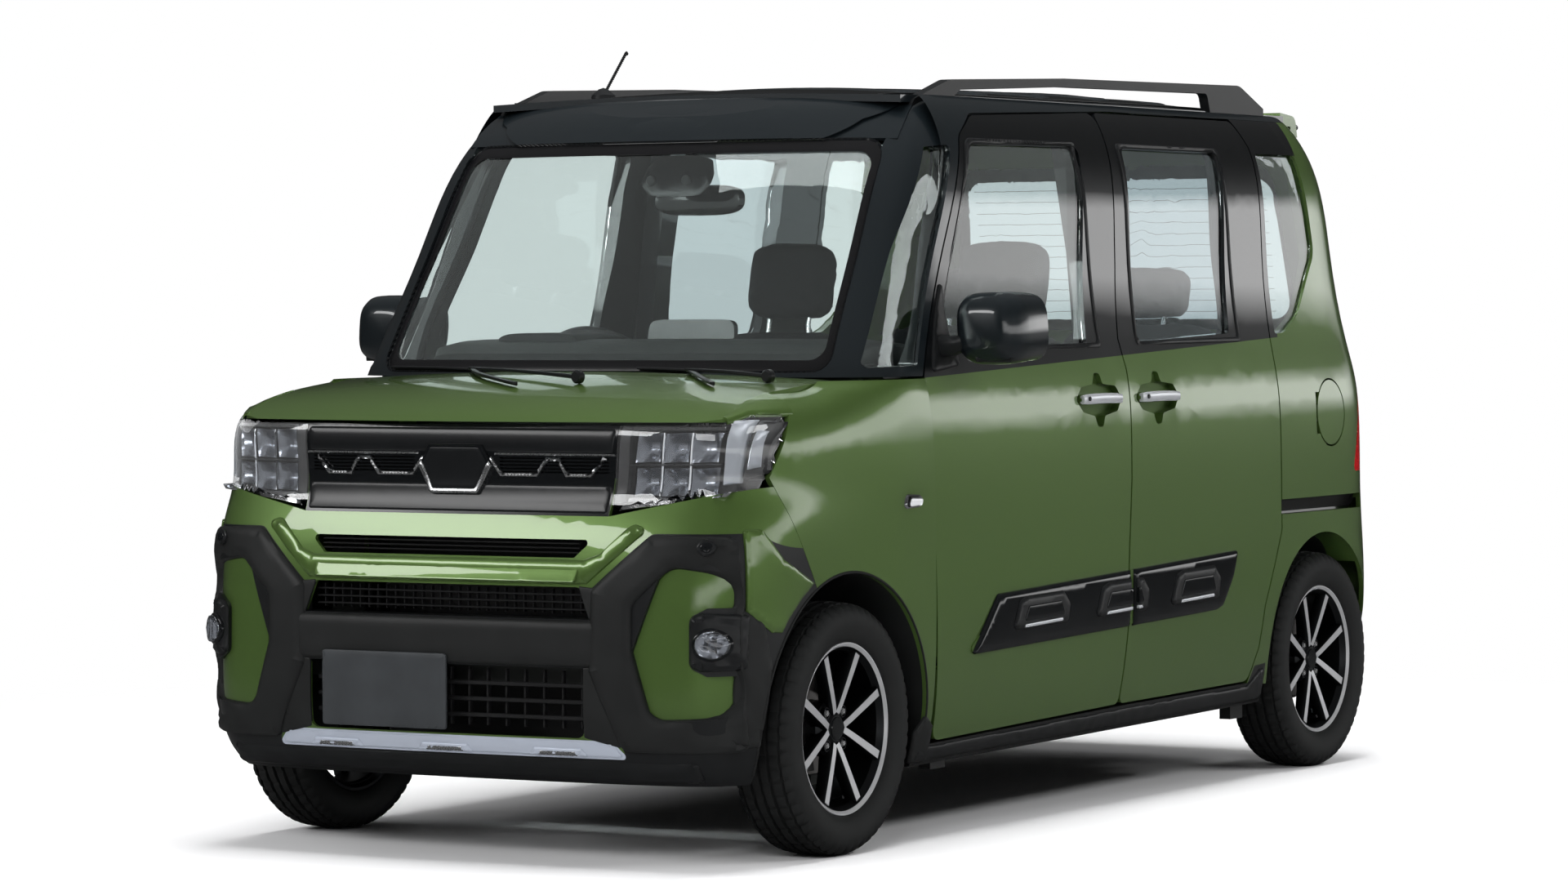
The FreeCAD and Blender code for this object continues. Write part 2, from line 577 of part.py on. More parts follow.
for place in HINGES:
    hinge_arms.append(box(f"hinge_arm_{place}", ("600", "Sizes.door_axis_y - 6", f"Sizes.hinge_{place}_z - 10"),
                          ("Sizes.door_axis_x + 4", "Sizes.door_axis_y + 6", f"Sizes.hinge_{place}_z + 10")))
    hinge_arms.append(box(f"hinge_root_{place}", ("590", "-850", f"Sizes.hinge_{place}_z - 10"),
                          ("638", "Sizes.door_axis_y + 6", f"Sizes.hinge_{place}_z + 10")))
    hinge_arms.append(cylinder(f"hinge_pin_{place}", hinge_axis(place, "Sizes.hinge_height / 2"), (0, 0, 1),
                               "Sizes.hinge_radius", "Sizes.hinge_height"))
frame_blank = fuse("side_frame_blank", pillar, inner_rail, rail_link, b_post, a_post, a_knee, *hinge_arms)
frame_left = cut("side_frame_left", frame_blank, wheel_house)
keep("side_frames", pair("side_frames_pair", frame_left))

jack_pads = [box(f"jack_pad_{end}", ("Sizes.jack_x - 15", f"Sizes.jack_{end}_y - 35", "Sizes.jack_z"),
                 ("Sizes.jack_x + 15", f"Sizes.jack_{end}_y + 35", "Sizes.jack_z + 50")) for end in ("front", "rear")]
sill_panel = cut("sill_panel", common("sill_blank", wall, sill_area), wheel_house, rear_arch)
keep("sills", pair("sills_pair", fuse("sill_left", sill_panel, *jack_pads)))

# Roof with its front and rear rails

ROOF_STATIONS = [(-652, 1699, 1687), (-450, 1716, 1691), (0, 1731, 1692), (600, 1743, 1693), (1100, 1735, 1693),
                 (1396, 1705, 1693)]


def crown(middle, edge, half, depth):
    """Closed cross-section of a crowned panel of even depth."""
    top = Part.Arc(Vector(-half, edge, 0), Vector(0, middle, 0), Vector(half, edge, 0))
    base = Part.Arc(Vector(half, edge - depth, 0), Vector(0, middle - depth, 0), Vector(-half, edge - depth, 0))
    sides = [Part.LineSegment(Vector(side, edge, 0), Vector(side, edge - depth, 0)) for side in (half, -half)]
    return [top, sides[0], base, sides[1]]


panel_play = 0.6
roof_sections = [sketch(f"roof_section_{index}", "XZ", crown(middle, edge, size("roof_half") - panel_play,
                                                             size("roof_thickness")), f"{station_y}")
                 for index, (station_y, middle, edge) in enumerate(ROOF_STATIONS)]
HEADER = [(-806, 1588), (-742, 1646), (-640, 1698), (-600, 1698), (-600, 1676), (-700, 1632), (-764, 1588)]
header_front = common("header_front", hull_outer, prism("header_front_area", "YZ", HEADER, "-555", "555"))
header_rear = box("header_rear", ("-530", "1330", "1640"), ("530", "1396", "1684"))
roof_pin = cylinder("gate_pin", ("410", "Sizes.gate_axis_y", "Sizes.gate_axis_z"), (1, 0, 0), "Sizes.gate_pin", "44")
roof_hinge = fuse("roof_hinge", roof_pin, *[gate_barrel(name) for name in ("inner", "outer")],
                  *[gate_leaf(name, "- 40", "") for name in ("inner", "outer")])
roof_panel = cut("roof_panel", fuse("roof_blank", loft("roof_sheet", roof_sections), header_front, header_rear),
                 hinge_rooms)
keep("roof", fuse("roof_body", roof_panel, roof_hinge, mirror("roof_hinge_right", roof_hinge)))

RAIL = [(-612, 1664), (-596, 1680), (-430, 1729, 90), (143, 1750), (1119, 1764, 90), (1262, 1708), (1262, 1680),
        (951, 1680), (930, 1738, 20), (143, 1729), (-380, 1706, 20), (-430, 1680), (-560, 1664)]
rail_blank = left_prism("roof_rail_area", RAIL, "Sizes.rail_inner_x", "Sizes.rail_outer_x")
keep("roof_rails", pair("roof_rails_pair", cut("roof_rail_left", rail_blank, hull_outer, parts["roof"])))

mast = cylinder("mast", ("Sizes.antenna_x", "Sizes.antenna_y", "1700"), (0, 0.65, 0.76), "3.5",
                "Sizes.antenna_length")
mast_foot = cylinder("mast_foot", ("Sizes.antenna_x", "Sizes.antenna_y", "1690"), (0, 0, 1), "22", "30")
keep("antenna", cut("antenna_body", fuse("antenna_blank", mast, mast_foot), hull_outer, parts["roof"]))

# Nose: wings, bonnet, bumper, grille, lamps

BONNET = [(640, -1548, 30), (632, -1383), (650, -1100, 25), (400, -1166), (0, -1194)]
BONNET_NOSE = [(0, -1660), (300, -1652), (500, -1622, 200)]
bonnet_corners = BONNET + [(-x, y, *rest) for x, y, *rest in reversed(BONNET[:-1])]
bonnet_corners += [(-x, y, *rest) for x, y, *rest in reversed(BONNET_NOSE[1:])] + BONNET_NOSE
bonnet_area = prism("bonnet_area", "XY", bonnet_corners, "958", "1100")
BONNET_STATIONS = [(-1075, 1064, 1036), (-1250, 1056, 1028), (-1400, 1040, 1010), (-1500, 1021, 984),
                   (-1570, 1000, 952), (-1665, 950, 890)]
bonnet_sections = [sketch(f"bonnet_section_{index}", "XZ", crown(middle, edge, 665, 20), f"{station_y}")
                   for index, (station_y, middle, edge) in enumerate(BONNET_STATIONS)]
bonnet_panel = common("bonnet_panel", loft("bonnet_sheet", bonnet_sections), bonnet_area)
bonnet_lug = box("bonnet_lug", ("596", "-1130", "Sizes.bonnet_axis_z - 10"),
                 ("612", "Sizes.bonnet_axis_y + 10", "Sizes.bonnet_axis_z + 10"))
bonnet_bore = cylinder("bonnet_bore", ("580", "Sizes.bonnet_axis_y", "Sizes.bonnet_axis_z"), (1, 0, 0),
                       "Sizes.bonnet_pin + Sizes.pin_play", "50")
bonnet_hinge = cut("bonnet_hinge_left", bonnet_lug, bonnet_bore)
keep("bonnet", fuse("bonnet_body", bonnet_panel, bonnet_hinge, mirror("bonnet_hinge_right", bonnet_hinge)))

bonnet_hole_corners = []
for corner in bonnet_corners:
    x, y, *rest = corner
    bonnet_hole_corners.append((x * 1.0 + math.copysign(gap, x) * (abs(x) > 1), y + math.copysign(gap, y + 1370),
                                *rest))
bonnet_hole = prism("bonnet_hole", "XY", bonnet_hole_corners, "951", "1100")

door_lead = shifted(DOOR_FRONT[1:5], -gap)
wing_edge = [(-1298.5, 560), (-1478.5, 838), (-1383.5, 976), (-1383.5, 1080), (-832, 1080)] + list(reversed(door_lead))
wing_edge += [(-797, 258), (-880, 258)]
wing_area = left_prism("wing_area", wing_edge)
wing = cut("wing_left", common("wing_blank", nose_skin, wing_area), front_arch, bonnet_hole,
           box("cowl_room", ("0", "-1094", "960"), ("652", "-700", "1100")),
           box("cowl_front_room", ("0", "-1200", "960"), ("641", "-1090", "1100")),
           cylinder("door_sweep", ("Sizes.door_axis_x", "Sizes.door_axis_y", "200"), (0, 0, 1), "60", "846"))
keep("wings", pair("wings_pair", wing))

GRILLE = [(398, 757), (410, 962)]
grille_area = prism("grille_area", "XZ", both_sides(GRILLE), "-1800", "-1400")
LOUVRES = {"count": 5, "low": 847, "pitch": 7.5, "height": 4, "inner": 112, "outer": 388}
louvre_slots = []
for index in range(LOUVRES["count"]):
    low_z = LOUVRES["low"] + index * LOUVRES["pitch"]
    for side, hand in ((1, "left"), (-1, "right")):
        low_x, high_x = sorted((LOUVRES["inner"] * side, LOUVRES["outer"] * side))
        louvre_slots.append(box(f"louvre_{hand}_{index}", (f"{low_x}", "-1800", f"{low_z}"),
                                (f"{high_x}", "-1600", f"{low_z + LOUVRES['height']}")))
louvre_cuts = common("louvre_cuts", louvre_layer, group("louvre_slots", *louvre_slots))
keep("grille", cut("grille_body", common("grille_blank", nose_shell, grille_area), bonnet_hole, louvre_cuts))

LAMP = [(398.6, 757), (800, 838), (800, 990), (411, 966)]
lamp_front = prism("lamp_front", "XZ", LAMP, "-1800", "-1300")
lamp_side = left_prism("lamp_side", [(-1800, 700), (-1520, 757), (-1480, 838), (-1385, 976), (-1385, 1000),
                                     (-1800, 1000)])
lamp_blank = common("lamp_blank", common("lamp_shell", nose_shell, lamp_front), lamp_side)
lamp_left = cut("headlamp_left", lamp_blank, bonnet_hole)
keep("headlamps", pair("headlamps_pair", lamp_left))

nose_bumper_edge = [(-1800, 150), (-1300, 150), (-1300, 560), (-1480, 838), (-1800, 838)]
MOUTH = [(360, 282, 20), (360, 425), (372, 440), (372, 540), (345, 606, 10)]
SLOT = [(328, 668, 8), (370, 707, 8)]
FRAME = [(372, 425), (452, 252), (800, 252), (800, 560), (700, 722, 30), (510, 722, 30), (372, 600)]
INSET = [(475, 470), (520, 322, 30), (690, 330, 40), (690, 640, 40), (545, 655, 30)]
POD = [(605, 440, 20), (640, 420), (760, 420), (760, 565), (640, 565), (605, 545, 20)]
BAR = [(402, 432, 12), (402, 537, 12)]
LIP_TOP = 252.4
mouth = prism("mouth", "XZ", both_sides(MOUTH), "-1800", "-1400")
slot = prism("slot", "XZ", both_sides(SLOT), "-1800", "-1400")
inset_area = cut("inset_area", prism("inset_outline", "XZ", INSET, "-1800", "-1300"),
                 prism("lamp_pod", "XZ", POD, "-1800", "-1300"))
frame_area = cut("frame_area", prism("frame_outer", "XZ", FRAME, "-1800", "-1300"), inset_area)
lip_area = box("lip_area", ("-800", "-1800", "140"), ("800", "-1300", f"{LIP_TOP}"))
bar_area = prism("bar_area", "XZ", both_sides(BAR), "-1800", "-1400")
garnish_area = prism("garnish_area", "XZ", both_sides([(462, 238, 8), (424, 278, 8)]), "-1800", "-1400")
inset_areas = fuse("inset_areas", inset_area, mirror("inset_area_right", inset_area))
trim_area = fuse("trim_area", frame_area, mirror("frame_area_right", frame_area), lip_area)
hollow_area = fuse("hollow_area", mouth, slot)
upper_faces = fuse("upper_faces", grille_area, lamp_front, mirror("lamp_front_right", lamp_front))
nose_bumper_area = left_prism("nose_bumper_area", nose_bumper_edge, "-800")
bumper_blank = common("bumper_blank", nose_skin, nose_bumper_area)
front_arches = fuse("front_arches", front_arch, mirror("front_arch_right", front_arch))
wheel_houses = common("wheel_houses", fuse("wheel_house_pair", wheel_house, mirror("wheel_house_right", wheel_house)),
                      nose_inner)
bumper_panel = cut("front_bumper_panel", bumper_blank, trim_area, bar_area, inset_areas, hollow_area, garnish_area,
                   upper_faces, front_arches)
insets = cut("bumper_insets", common("bumper_inset_blank", inset_layer, inset_areas), front_arches, wheel_houses)
keep("front_bumper", group("front_bumper_set", bumper_panel, insets))
trim_blank = common("bumper_trim_blank", common("bumper_trim_shell", trim_shell, nose_bumper_area), trim_area)
trim_frames = cut("bumper_trim_frames", trim_blank, hollow_area, garnish_area, front_arches, wheel_houses)
trim_bar = common("bumper_trim_bar", nose_shell, bar_area)
hollows = common("bumper_trim_hollows", mouth_layer, hollow_area)
keep("bumper_trim", fuse("bumper_trim_body", trim_frames, trim_bar, hollows))
keep("front_garnish", common("front_garnish_body", bumper_blank, garnish_area))

cowl_slab = prism("cowl_slab", "XY", [(640, -1094), (651, -1040), (0, -1130), (-651, -1040), (-640, -1094),
                                      (-400, -1158), (0, -1186), (400, -1158)], "990", "1035")
cowl_pocket = box("cowl_pocket", ("588", "-1140", "1005"), ("620", "-1068", "1100"))
bonnet_pin = cylinder("bonnet_pin", ("578", "Sizes.bonnet_axis_y", "Sizes.bonnet_axis_z"), (1, 0, 0),
                      "Sizes.bonnet_pin", "54")
cowl_pockets = fuse("cowl_pockets", cowl_pocket, mirror("cowl_pocket_right", cowl_pocket))
keep("cowl", fuse("cowl_body", cut("cowl_cut", cowl_slab, cowl_pockets), bonnet_pin,
                  mirror("bonnet_pin_right", bonnet_pin)))

# Floor, firewall and front structure

floor = box("floor_plate", ("-700", "Sizes.firewall_y", "Sizes.floor_z"),
            ("700", "Sizes.riser_y", "Sizes.floor_z + Sizes.floor_thickness"))
riser = box("riser", ("-560", "Sizes.riser_y", "Sizes.floor_z"), ("560", "Sizes.riser_y + 20", "Sizes.rear_floor_z"))
rear_floor = box("rear_floor", ("-560", "Sizes.riser_y", "Sizes.rear_floor_z - 20"),
                 ("560", "1600", "Sizes.rear_floor_z"))
firewall = box("firewall", ("-580", "Sizes.firewall_y - 20", "Sizes.floor_z"), ("580", "Sizes.firewall_y", "985"))
floor_blank = common("floor_trim", fuse("floor_blank", floor, riser, rear_floor, firewall), hull_inner)
rear_edge = cylinder("rear_house_edge", ("560", "Sizes.rear_axle_y", "Sizes.rear_arch_z"), (1, 0, 0),
                     "Sizes.rear_arch_radius + Sizes.liner_wall", "92")
keep("floor_pan", cut("floor_body", floor_blank, wheel_house, mirror("front_wheel_house_right", wheel_house),
                      rear_edge, mirror("rear_house_edge_right", rear_edge)))

members = [
    box("member_left", ("330", "-1595", "380"), ("390", "Sizes.firewall_y - 20", "470")),
    box("member_right", ("-390", "-1595", "380"), ("-330", "Sizes.firewall_y - 20", "470")),
    box("crash_beam", ("-560", "-1606", "390"), ("560", "-1568", "500")),
    box("lamp_beam", ("-390", "-1560", "850"), ("390", "-1520", "900")),
    box("post_left", ("330", "-1560", "380"), ("390", "-1520", "900")),
    box("post_right", ("-390", "-1560", "380"), ("-330", "-1520", "900")),
    box("subframe", ("-390", "-1420", "200"), ("390", "-1000", "240")),
    box("subframe_leg_left", ("330", "-1060", "200"), ("390", "-1000", "400")),
    box("subframe_leg_right", ("-390", "-1060", "200"), ("-330", "-1000", "400")),
]
towers = []
for side in (1, -1):
    name = "left" if side > 0 else "right"
    towers.append(box(f"tower_{name}", (f"{360 * side} - {30 if side < 0 else 0}", "-1250", "470"),
                      (f"{360 * side} + {30 if side > 0 else 0}", "-1110", "905")))
    low_x, high_x = sorted((360 * side, 570 * side))
    towers.append(box(f"tower_cap_{name}", (f"{low_x}", "-1250", "880.6"), (f"{high_x}", "-1110", "905")))

arms = []
for side, hand in ((1, "left"), (-1, "right")):
    low_x, high_x = sorted((380 * side, 640 * side))
    arms.append(box(f"lower_arm_{hand}", (f"{low_x}", "-1210", "155"), (f"{high_x}", "-1150", "176.2")))
    low_x, high_x = sorted((300 * side, 390 * side))
    arms.append(box(f"arm_foot_{hand}", (f"{low_x}", "-1210", "155"), (f"{high_x}", "-1150", "210")))
keep("front_structure", fuse("front_structure_body", *members, *towers, *arms))

keep("engine", box("engine_body", ("-290", "-1480", "240"), ("290", "-1060", "830")))

liner_room = cylinder("liner_room", ("Sizes.liner_inner_x - 5", "Sizes.front_axle_y", "Sizes.front_arch_z"),
                      (1, 0, 0), "Sizes.front_arch_radius", "400")
liner_above = box("liner_above", ("380", "-1600", "200"), ("800", "-780", "700"))
strut_room = box("strut_room", ("470", "-1250", "500"), ("600", "-1110", "700"))
liner_ring = cut("front_liner_ring", wheel_house, liner_room, strut_room)
tyre_houses = common("front_liner", common("front_liner_blank", liner_ring, liner_above), nose_inner)
rear_room = cylinder("rear_house_room", ("550", "Sizes.rear_axle_y", "Sizes.rear_arch_z"), (1, 0, 0),
                     "Sizes.rear_arch_radius", "400")
rear_above = box("rear_house_above", ("540", "900", "300"), ("800", "1700", "700"))
rear_ring = common("rear_house_inside", cut("rear_house_ring", rear_edge, rear_room), hull_inner)
rear_house = common("rear_house", rear_ring, rear_above)
keep("arch_liners", group("arch_liners_set", pair("front_liners", tyre_houses), pair("rear_houses", rear_house)))

# Wheels


def body_plane(body, role):
    for feature in body.Origin.OriginFeatures:
        if feature.Role == role:
            return feature
    raise LookupError(role)


def body_sketch(body, label, role, edges, rise=0):
    item = body.newObject("Sketcher::SketchObject", label)
    item.AttachmentSupport = [(body_plane(body, role), "")]
    item.MapMode = "FlatFace"
    item.AttachmentOffset = Placement(Vector(0, 0, rise), Rotation())
    item.addGeometry(edges, False)
    return item


def revolve(body, label, profile):
    item = body.newObject("PartDesign::Revolution", label)
    item.Profile = profile
    item.ReferenceAxis = (profile, ["V_Axis"])
    item.Angle = 360
    return item


bead = size("rim_face") - 6
half_tyre = size("tyre_width") / 2
seat = size("rim_seat_radius")
TYRE = [(seat, -bead), (190.5, -bead), (200, -70, 10), (236, -half_tyre, 36), (270, -66, 12), (278.5, -48, 60),
        (278.5, 48, 60), (270, 66, 12), (236, half_tyre, 36), (200, 70, 10), (190.5, bead), (seat, bead)]
RIM = [(170, -60), (190, -60, 3), (190, -bead, 1), (seat, -bead), (seat, bead), (190, bead, 1), (190, 60, 3), (176, 60),
       (170, 40)]
SPOKE = [(50, -14), (162, 58), (158, 75), (150, 80), (44, 12)]


def tyre(label):
    body = doc.addObject("PartDesign::Body", label)
    revolve(body, label + "_carcass", body_sketch(body, label + "_section", "XZ_Plane", outline(TYRE)))
    return body


def rim(label):
    body = doc.addObject("PartDesign::Body", label)
    revolve(body, label + "_barrel", body_sketch(body, label + "_section", "XZ_Plane", outline(RIM)))
    disc = body.newObject("PartDesign::Pad", label + "_hub")
    disc.Profile = body_sketch(body, label + "_hub_circle", "XY_Plane",
                               [Part.Circle(Vector(), Vector(0, 0, 1), 66),
                                Part.Circle(Vector(), Vector(0, 0, 1), size("hub_bore"))], -6)
    disc.Length = 50
    spokes = body.newObject("PartDesign::Pad", label + "_spokes")
    shape = []
    for side in (1, -1):
        for quarter_turn in range(4):
            corners = [(x, y * side) for x, y in SPOKE]
            turned = [Rotation(Vector(0, 0, 1), 90 * quarter_turn).multVec(Vector(x, y, 0)) for x, y in corners]
            shape.append([(point.x, point.y) for point in turned])
    wires = []
    for corners in shape[:1]:
        wires += outline(corners)
    spokes.Profile = body_sketch(body, label + "_spoke", "XY_Plane", wires, 18)
    spokes.setExpression("Length", "Sizes.spoke_depth")
    other = body.newObject("PartDesign::Pad", label + "_spokes_other")
    other.Profile = body_sketch(body, label + "_spoke_other", "XY_Plane", outline(shape[4]), 18)
    other.setExpression("Length", "Sizes.spoke_depth")
    pattern = body.newObject("PartDesign::PolarPattern", label + "_spoke_ring")
    pattern.Originals = [spokes, other]
    pattern.Axis = (body_sketch(body, label + "_axis", "XY_Plane", []), ["N_Axis"])
    pattern.Angle = 360
    pattern.Occurrences = 4
    body.Tip = pattern
    return body


def place_wheel(item, side, axle):
    item.Placement = Placement(Vector(), Rotation(Vector(0, 0, 1), Vector(side, 0, 0)))
    item.setExpression("Placement.Base.x", f"{side} * Sizes.half_track")
    item.setExpression("Placement.Base.y", f"Sizes.{axle}_axle_y")
    item.setExpression("Placement.Base.z", "Sizes.wheel_radius")


for axle in ("front", "rear"):
    for side, hand in ((1, "left"), (-1, "right")):
        for kind, make in (("tyre", tyre), ("rim", rim)):
            name = f"{kind}_{axle}_{hand}"
            wheel_part = make(name + "_body")
            place_wheel(wheel_part, side, axle)
            keep(name, wheel_part)

# Knuckles, struts and the rear axle

KINGPIN_LEAN = -80 / 700


def knuckle(side, hand):
    low_x, high_x = sorted((526 * side, 574 * side))
    upright = box(f"upright_{hand}", (f"{low_x}", "-1215", "184"), (f"{high_x}", "-1148", "400"))
    low_x, high_x = sorted((560 * side, 600 * side))
    link = box(f"upright_link_{hand}", (f"{low_x}", "-1205", "184"), (f"{high_x}", "-1158", "208"))
    kingpin = (KINGPIN_LEAN * side, 0, 1)
    foot = cylinder(f"ball_joint_{hand}", (f"{600 * side}", "Sizes.front_axle_y", "180"), kingpin, "28", "28")
    stub = cylinder(f"stub_{hand}", (f"{526 * side}", "Sizes.front_axle_y", "Sizes.wheel_radius"), (side, 0, 0),
                    "Sizes.hub_bore - Sizes.pin_play", "160")
    strut = cylinder(f"strut_{hand}", (f"{544 * side}", "Sizes.front_axle_y", "380"), (-0.048 * side, 0, 1), "22",
                     "480")
    head = cylinder(f"strut_head_{hand}", (f"{(600 + KINGPIN_LEAN * 670) * side}", "Sizes.front_axle_y", "850"), kingpin,
                    "30", "26.8")
    return fuse(f"knuckle_{hand}_body", upright, link, foot, stub, strut, head)


keep("knuckle_left", knuckle(1, "left"))
keep("knuckle_right", knuckle(-1, "right"))

axle_parts = [cylinder("axle_tube", ("-560", "Sizes.rear_axle_y", "Sizes.wheel_radius"), (1, 0, 0), "32", "1120")]
for side, hand in ((1, "left"), (-1, "right")):
    axle_parts.append(cylinder(f"rear_stub_{hand}", (f"{540 * side}", "Sizes.rear_axle_y", "Sizes.wheel_radius"),
                               (side, 0, 0), "Sizes.hub_bore - Sizes.pin_play", "146"))
    axle_parts.append(cylinder(f"drum_{hand}", (f"{560 * side}", "Sizes.rear_axle_y", "Sizes.wheel_radius"),
                               (side, 0, 0), "100", "60"))
    low_x, high_x = sorted((470 * side, 530 * side))
    axle_parts.append(box(f"trailing_arm_{hand}", (f"{low_x}", "995.4", "250"), (f"{high_x}", "1300", "300")))
    axle_parts.append(cylinder(f"spring_{hand}", (f"{440 * side}", "1250", "290"), (0, 0, 1), "50", "119.6"))
keep("rear_axle", fuse("rear_axle_body", *axle_parts))

keep("fuel_tank", box("fuel_tank_body", ("-100", "300", "150"), ("420", "860", "Sizes.floor_z")))
exhaust_parts = [cylinder("exhaust_pipe", ("-300", "-1000", "171.6"), (0, 1, 0), "18", "2400"),
                 cylinder("silencer", ("-330", "1440", "290"), (1, 0, 0), "75", "560"),
                 prism("exhaust_tail", "YZ", [(1370, 156), (1400, 156), (1450, 250), (1420, 270), (1370, 187)], "-318",
                       "-282")]
keep("exhaust", fuse("exhaust_body", *exhaust_parts))

# Cabin

DASH = [(-880, 640), (-880, 1070, 20), (-640, 1085, 60), (-602, 1010, 30), (-640, 760, 40), (-700, 640)]
dashboard = common("dashboard_trim", prism("dashboard_blank", "YZ", DASH, "-588", "588"), hull_inner)

tilt = math.radians(size("wheel_tilt"))
column_axis = (0, math.cos(tilt), math.sin(tilt))


def steering_body():
    body = doc.addObject("PartDesign::Body", "steering_wheel_body")
    ring_sketch = body_sketch(body, "steering_section", "XZ_Plane",
                              [Part.Circle(Vector(size("steering_radius"), 0, 0), Vector(0, 0, 1), 15)])
    revolve(body, "steering_rim", ring_sketch)
    pad = body.newObject("PartDesign::Pad", "steering_spokes")
    pad.Profile = body_sketch(body, "steering_spoke_outline", "XY_Plane",
                              outline([(-172, -20, 8), (-60, -46, 20), (60, -46, 20), (172, -20, 8), (172, 20, 8),
                                       (60, 60, 20), (-60, 60, 20), (-172, 20, 8)]), -12)
    pad.Length = 24
    shaft = body.newObject("PartDesign::Pad", "steering_shaft")
    shaft.Profile = body_sketch(body, "steering_shaft_circle", "XY_Plane", [Part.Circle(Vector(), Vector(0, 0, 1),
                                                                                       14)], -90)
    shaft.Length = 90
    body.Tip = shaft
    body.Placement = Placement(Vector(size("steering_x"), size("steering_y"), size("steering_z")),
                               Rotation(Vector(0, 0, 1), Vector(*column_axis)))
    return body


keep("steering_wheel", steering_body())
column_start = [size("steering_x"), size("steering_y") - 90.5 * column_axis[1], size("steering_z") - 90.5
                * column_axis[2]]
column = cylinder("column", [f"{place}" for place in column_start], [-part for part in column_axis], "32", "120")
keep("dashboard", fuse("dashboard_body", dashboard, column))

SEAT = [(-420, 224.4), (-440, 470, 60), (60, 480, 30), (160, 1060, 60), (290, 1040, 60), (170, 420, 60), (100, 224.4)]
seat_left = prism("seat_left", "YZ", SEAT, "Sizes.seat_x - Sizes.seat_half", "Sizes.seat_x + Sizes.seat_half")
keep("front_seats", pair("front_seats_pair", seat_left))
BENCH = [(640, 224.4), (600, 480, 60), (1010, 480, 30), (1130, 1060, 60), (1230, 1040, 60), (1150, 430.4),
         (974.4, 430.4), (974.4, 224.4)]
keep("rear_seat", prism("rear_seat_body", "YZ", BENCH, "-550", "550"))

doc.recompute()
failed = [item.Label for item in doc.Objects if "Invalid" in item.State or "Error" in item.State]
if failed:
    raise RuntimeError(f"features that failed: {failed}")
for name, item in parts.items():
    shape = item.Shape
    if shape.isNull() or not shape.isValid():
        raise RuntimeError(f"{name} has no valid shape")
    shape.exportStep(f"parts/{name}.step")
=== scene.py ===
import math

import bmesh
import bpy
import numpy as np
from mathutils import Matrix, Vector
from mathutils.bvhtree import BVHTree
from mathutils.geometry import delaunay_2d_cdt


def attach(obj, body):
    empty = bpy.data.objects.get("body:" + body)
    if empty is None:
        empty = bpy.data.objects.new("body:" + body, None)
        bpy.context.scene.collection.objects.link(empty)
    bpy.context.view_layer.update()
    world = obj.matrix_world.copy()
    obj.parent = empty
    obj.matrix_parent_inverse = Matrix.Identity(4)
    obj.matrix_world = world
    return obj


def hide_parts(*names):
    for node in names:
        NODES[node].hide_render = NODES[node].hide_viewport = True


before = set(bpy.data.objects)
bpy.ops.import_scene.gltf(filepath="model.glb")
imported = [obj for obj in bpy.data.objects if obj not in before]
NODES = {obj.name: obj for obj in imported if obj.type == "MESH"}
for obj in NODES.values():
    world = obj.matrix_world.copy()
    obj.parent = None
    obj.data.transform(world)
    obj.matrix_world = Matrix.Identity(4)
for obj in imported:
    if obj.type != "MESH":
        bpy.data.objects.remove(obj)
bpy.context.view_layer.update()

# Outlines and paths are written in millimetres, and meshes are in metres
MM = 1000
LEFT, RIGHT = 1, -1
HANDS = {LEFT: "left", RIGHT: "right"}
ACROSS, ALONG, UP = Vector((1, 0, 0)), Vector((0, 1, 0)), Vector((0, 0, 1))

# Camera, floor and light

CAMERA_PLACE = Vector((6.4235, -11.0612, 1.2260))
CAMERA_YAW, CAMERA_PITCH, CAMERA_ROLL = 2.09718, -0.01823, -0.00518
CAMERA_LENS = 119.76
CAMERA_SHIFT = (-0.0307, -0.0316)
CAMERA_REACH = 200

WHITE = (1, 1, 1, 1)
DOME = ((0.0, 0.05), (0.10, 0.05), (0.20, 0.07), (0.40, 0.12), (0.80, 0.30))
MIRRORED_DOME = 0.4
BAND = ((0.01, 0.0), (0.04, 1.0), (0.085, 1.0), (0.125, 0.0))
BAND_BRIGHTNESS = 2.6
BAND_SIDE = (0.10, 0.35)

FLOOR_HALF = 40.0
FLOOR_COLOUR = (0.86, 0.86, 0.87, 1)
# Dark grey that the floor shows in reflections: painted shade on the car's lower sides
FLOOR_SHADE_IN_REFLECTIONS = (0.07, 0.07, 0.07, 1)
FLOOR_FADE = (2.2, 4.2)

# Place, target, width, height, power and whether the paint mirrors it
LAMPS = {
    "overhead": ((0, 0.3, 4.6), (0, 0.2, 0.8), 3.0, 5.4, 430, False),
    "front": ((2.2, -7.0, 3.2), (0.1, -1.5, 0.7), 3.4, 1.6, 230, False),
    "left_side": ((5.4, 0.4, 3.6), (0.7, 0.2, 0.9), 5.0, 1.1, 150, False),
    "right_side": ((-6.0, -1.0, 3.0), (0, 0, 0.9), 5.0, 2.0, 80, False),
    "rear": ((0.5, 6.5, 3.0), (0, 1, 0.9), 4.0, 2.0, 80, False),
    "nose_glow": ((-2.6, -5.4, 3.0), (0, -1.65, 0.64), 3.4, 0.9, 70, True),
}


def link(item):
    bpy.context.scene.collection.objects.link(item)
    return item


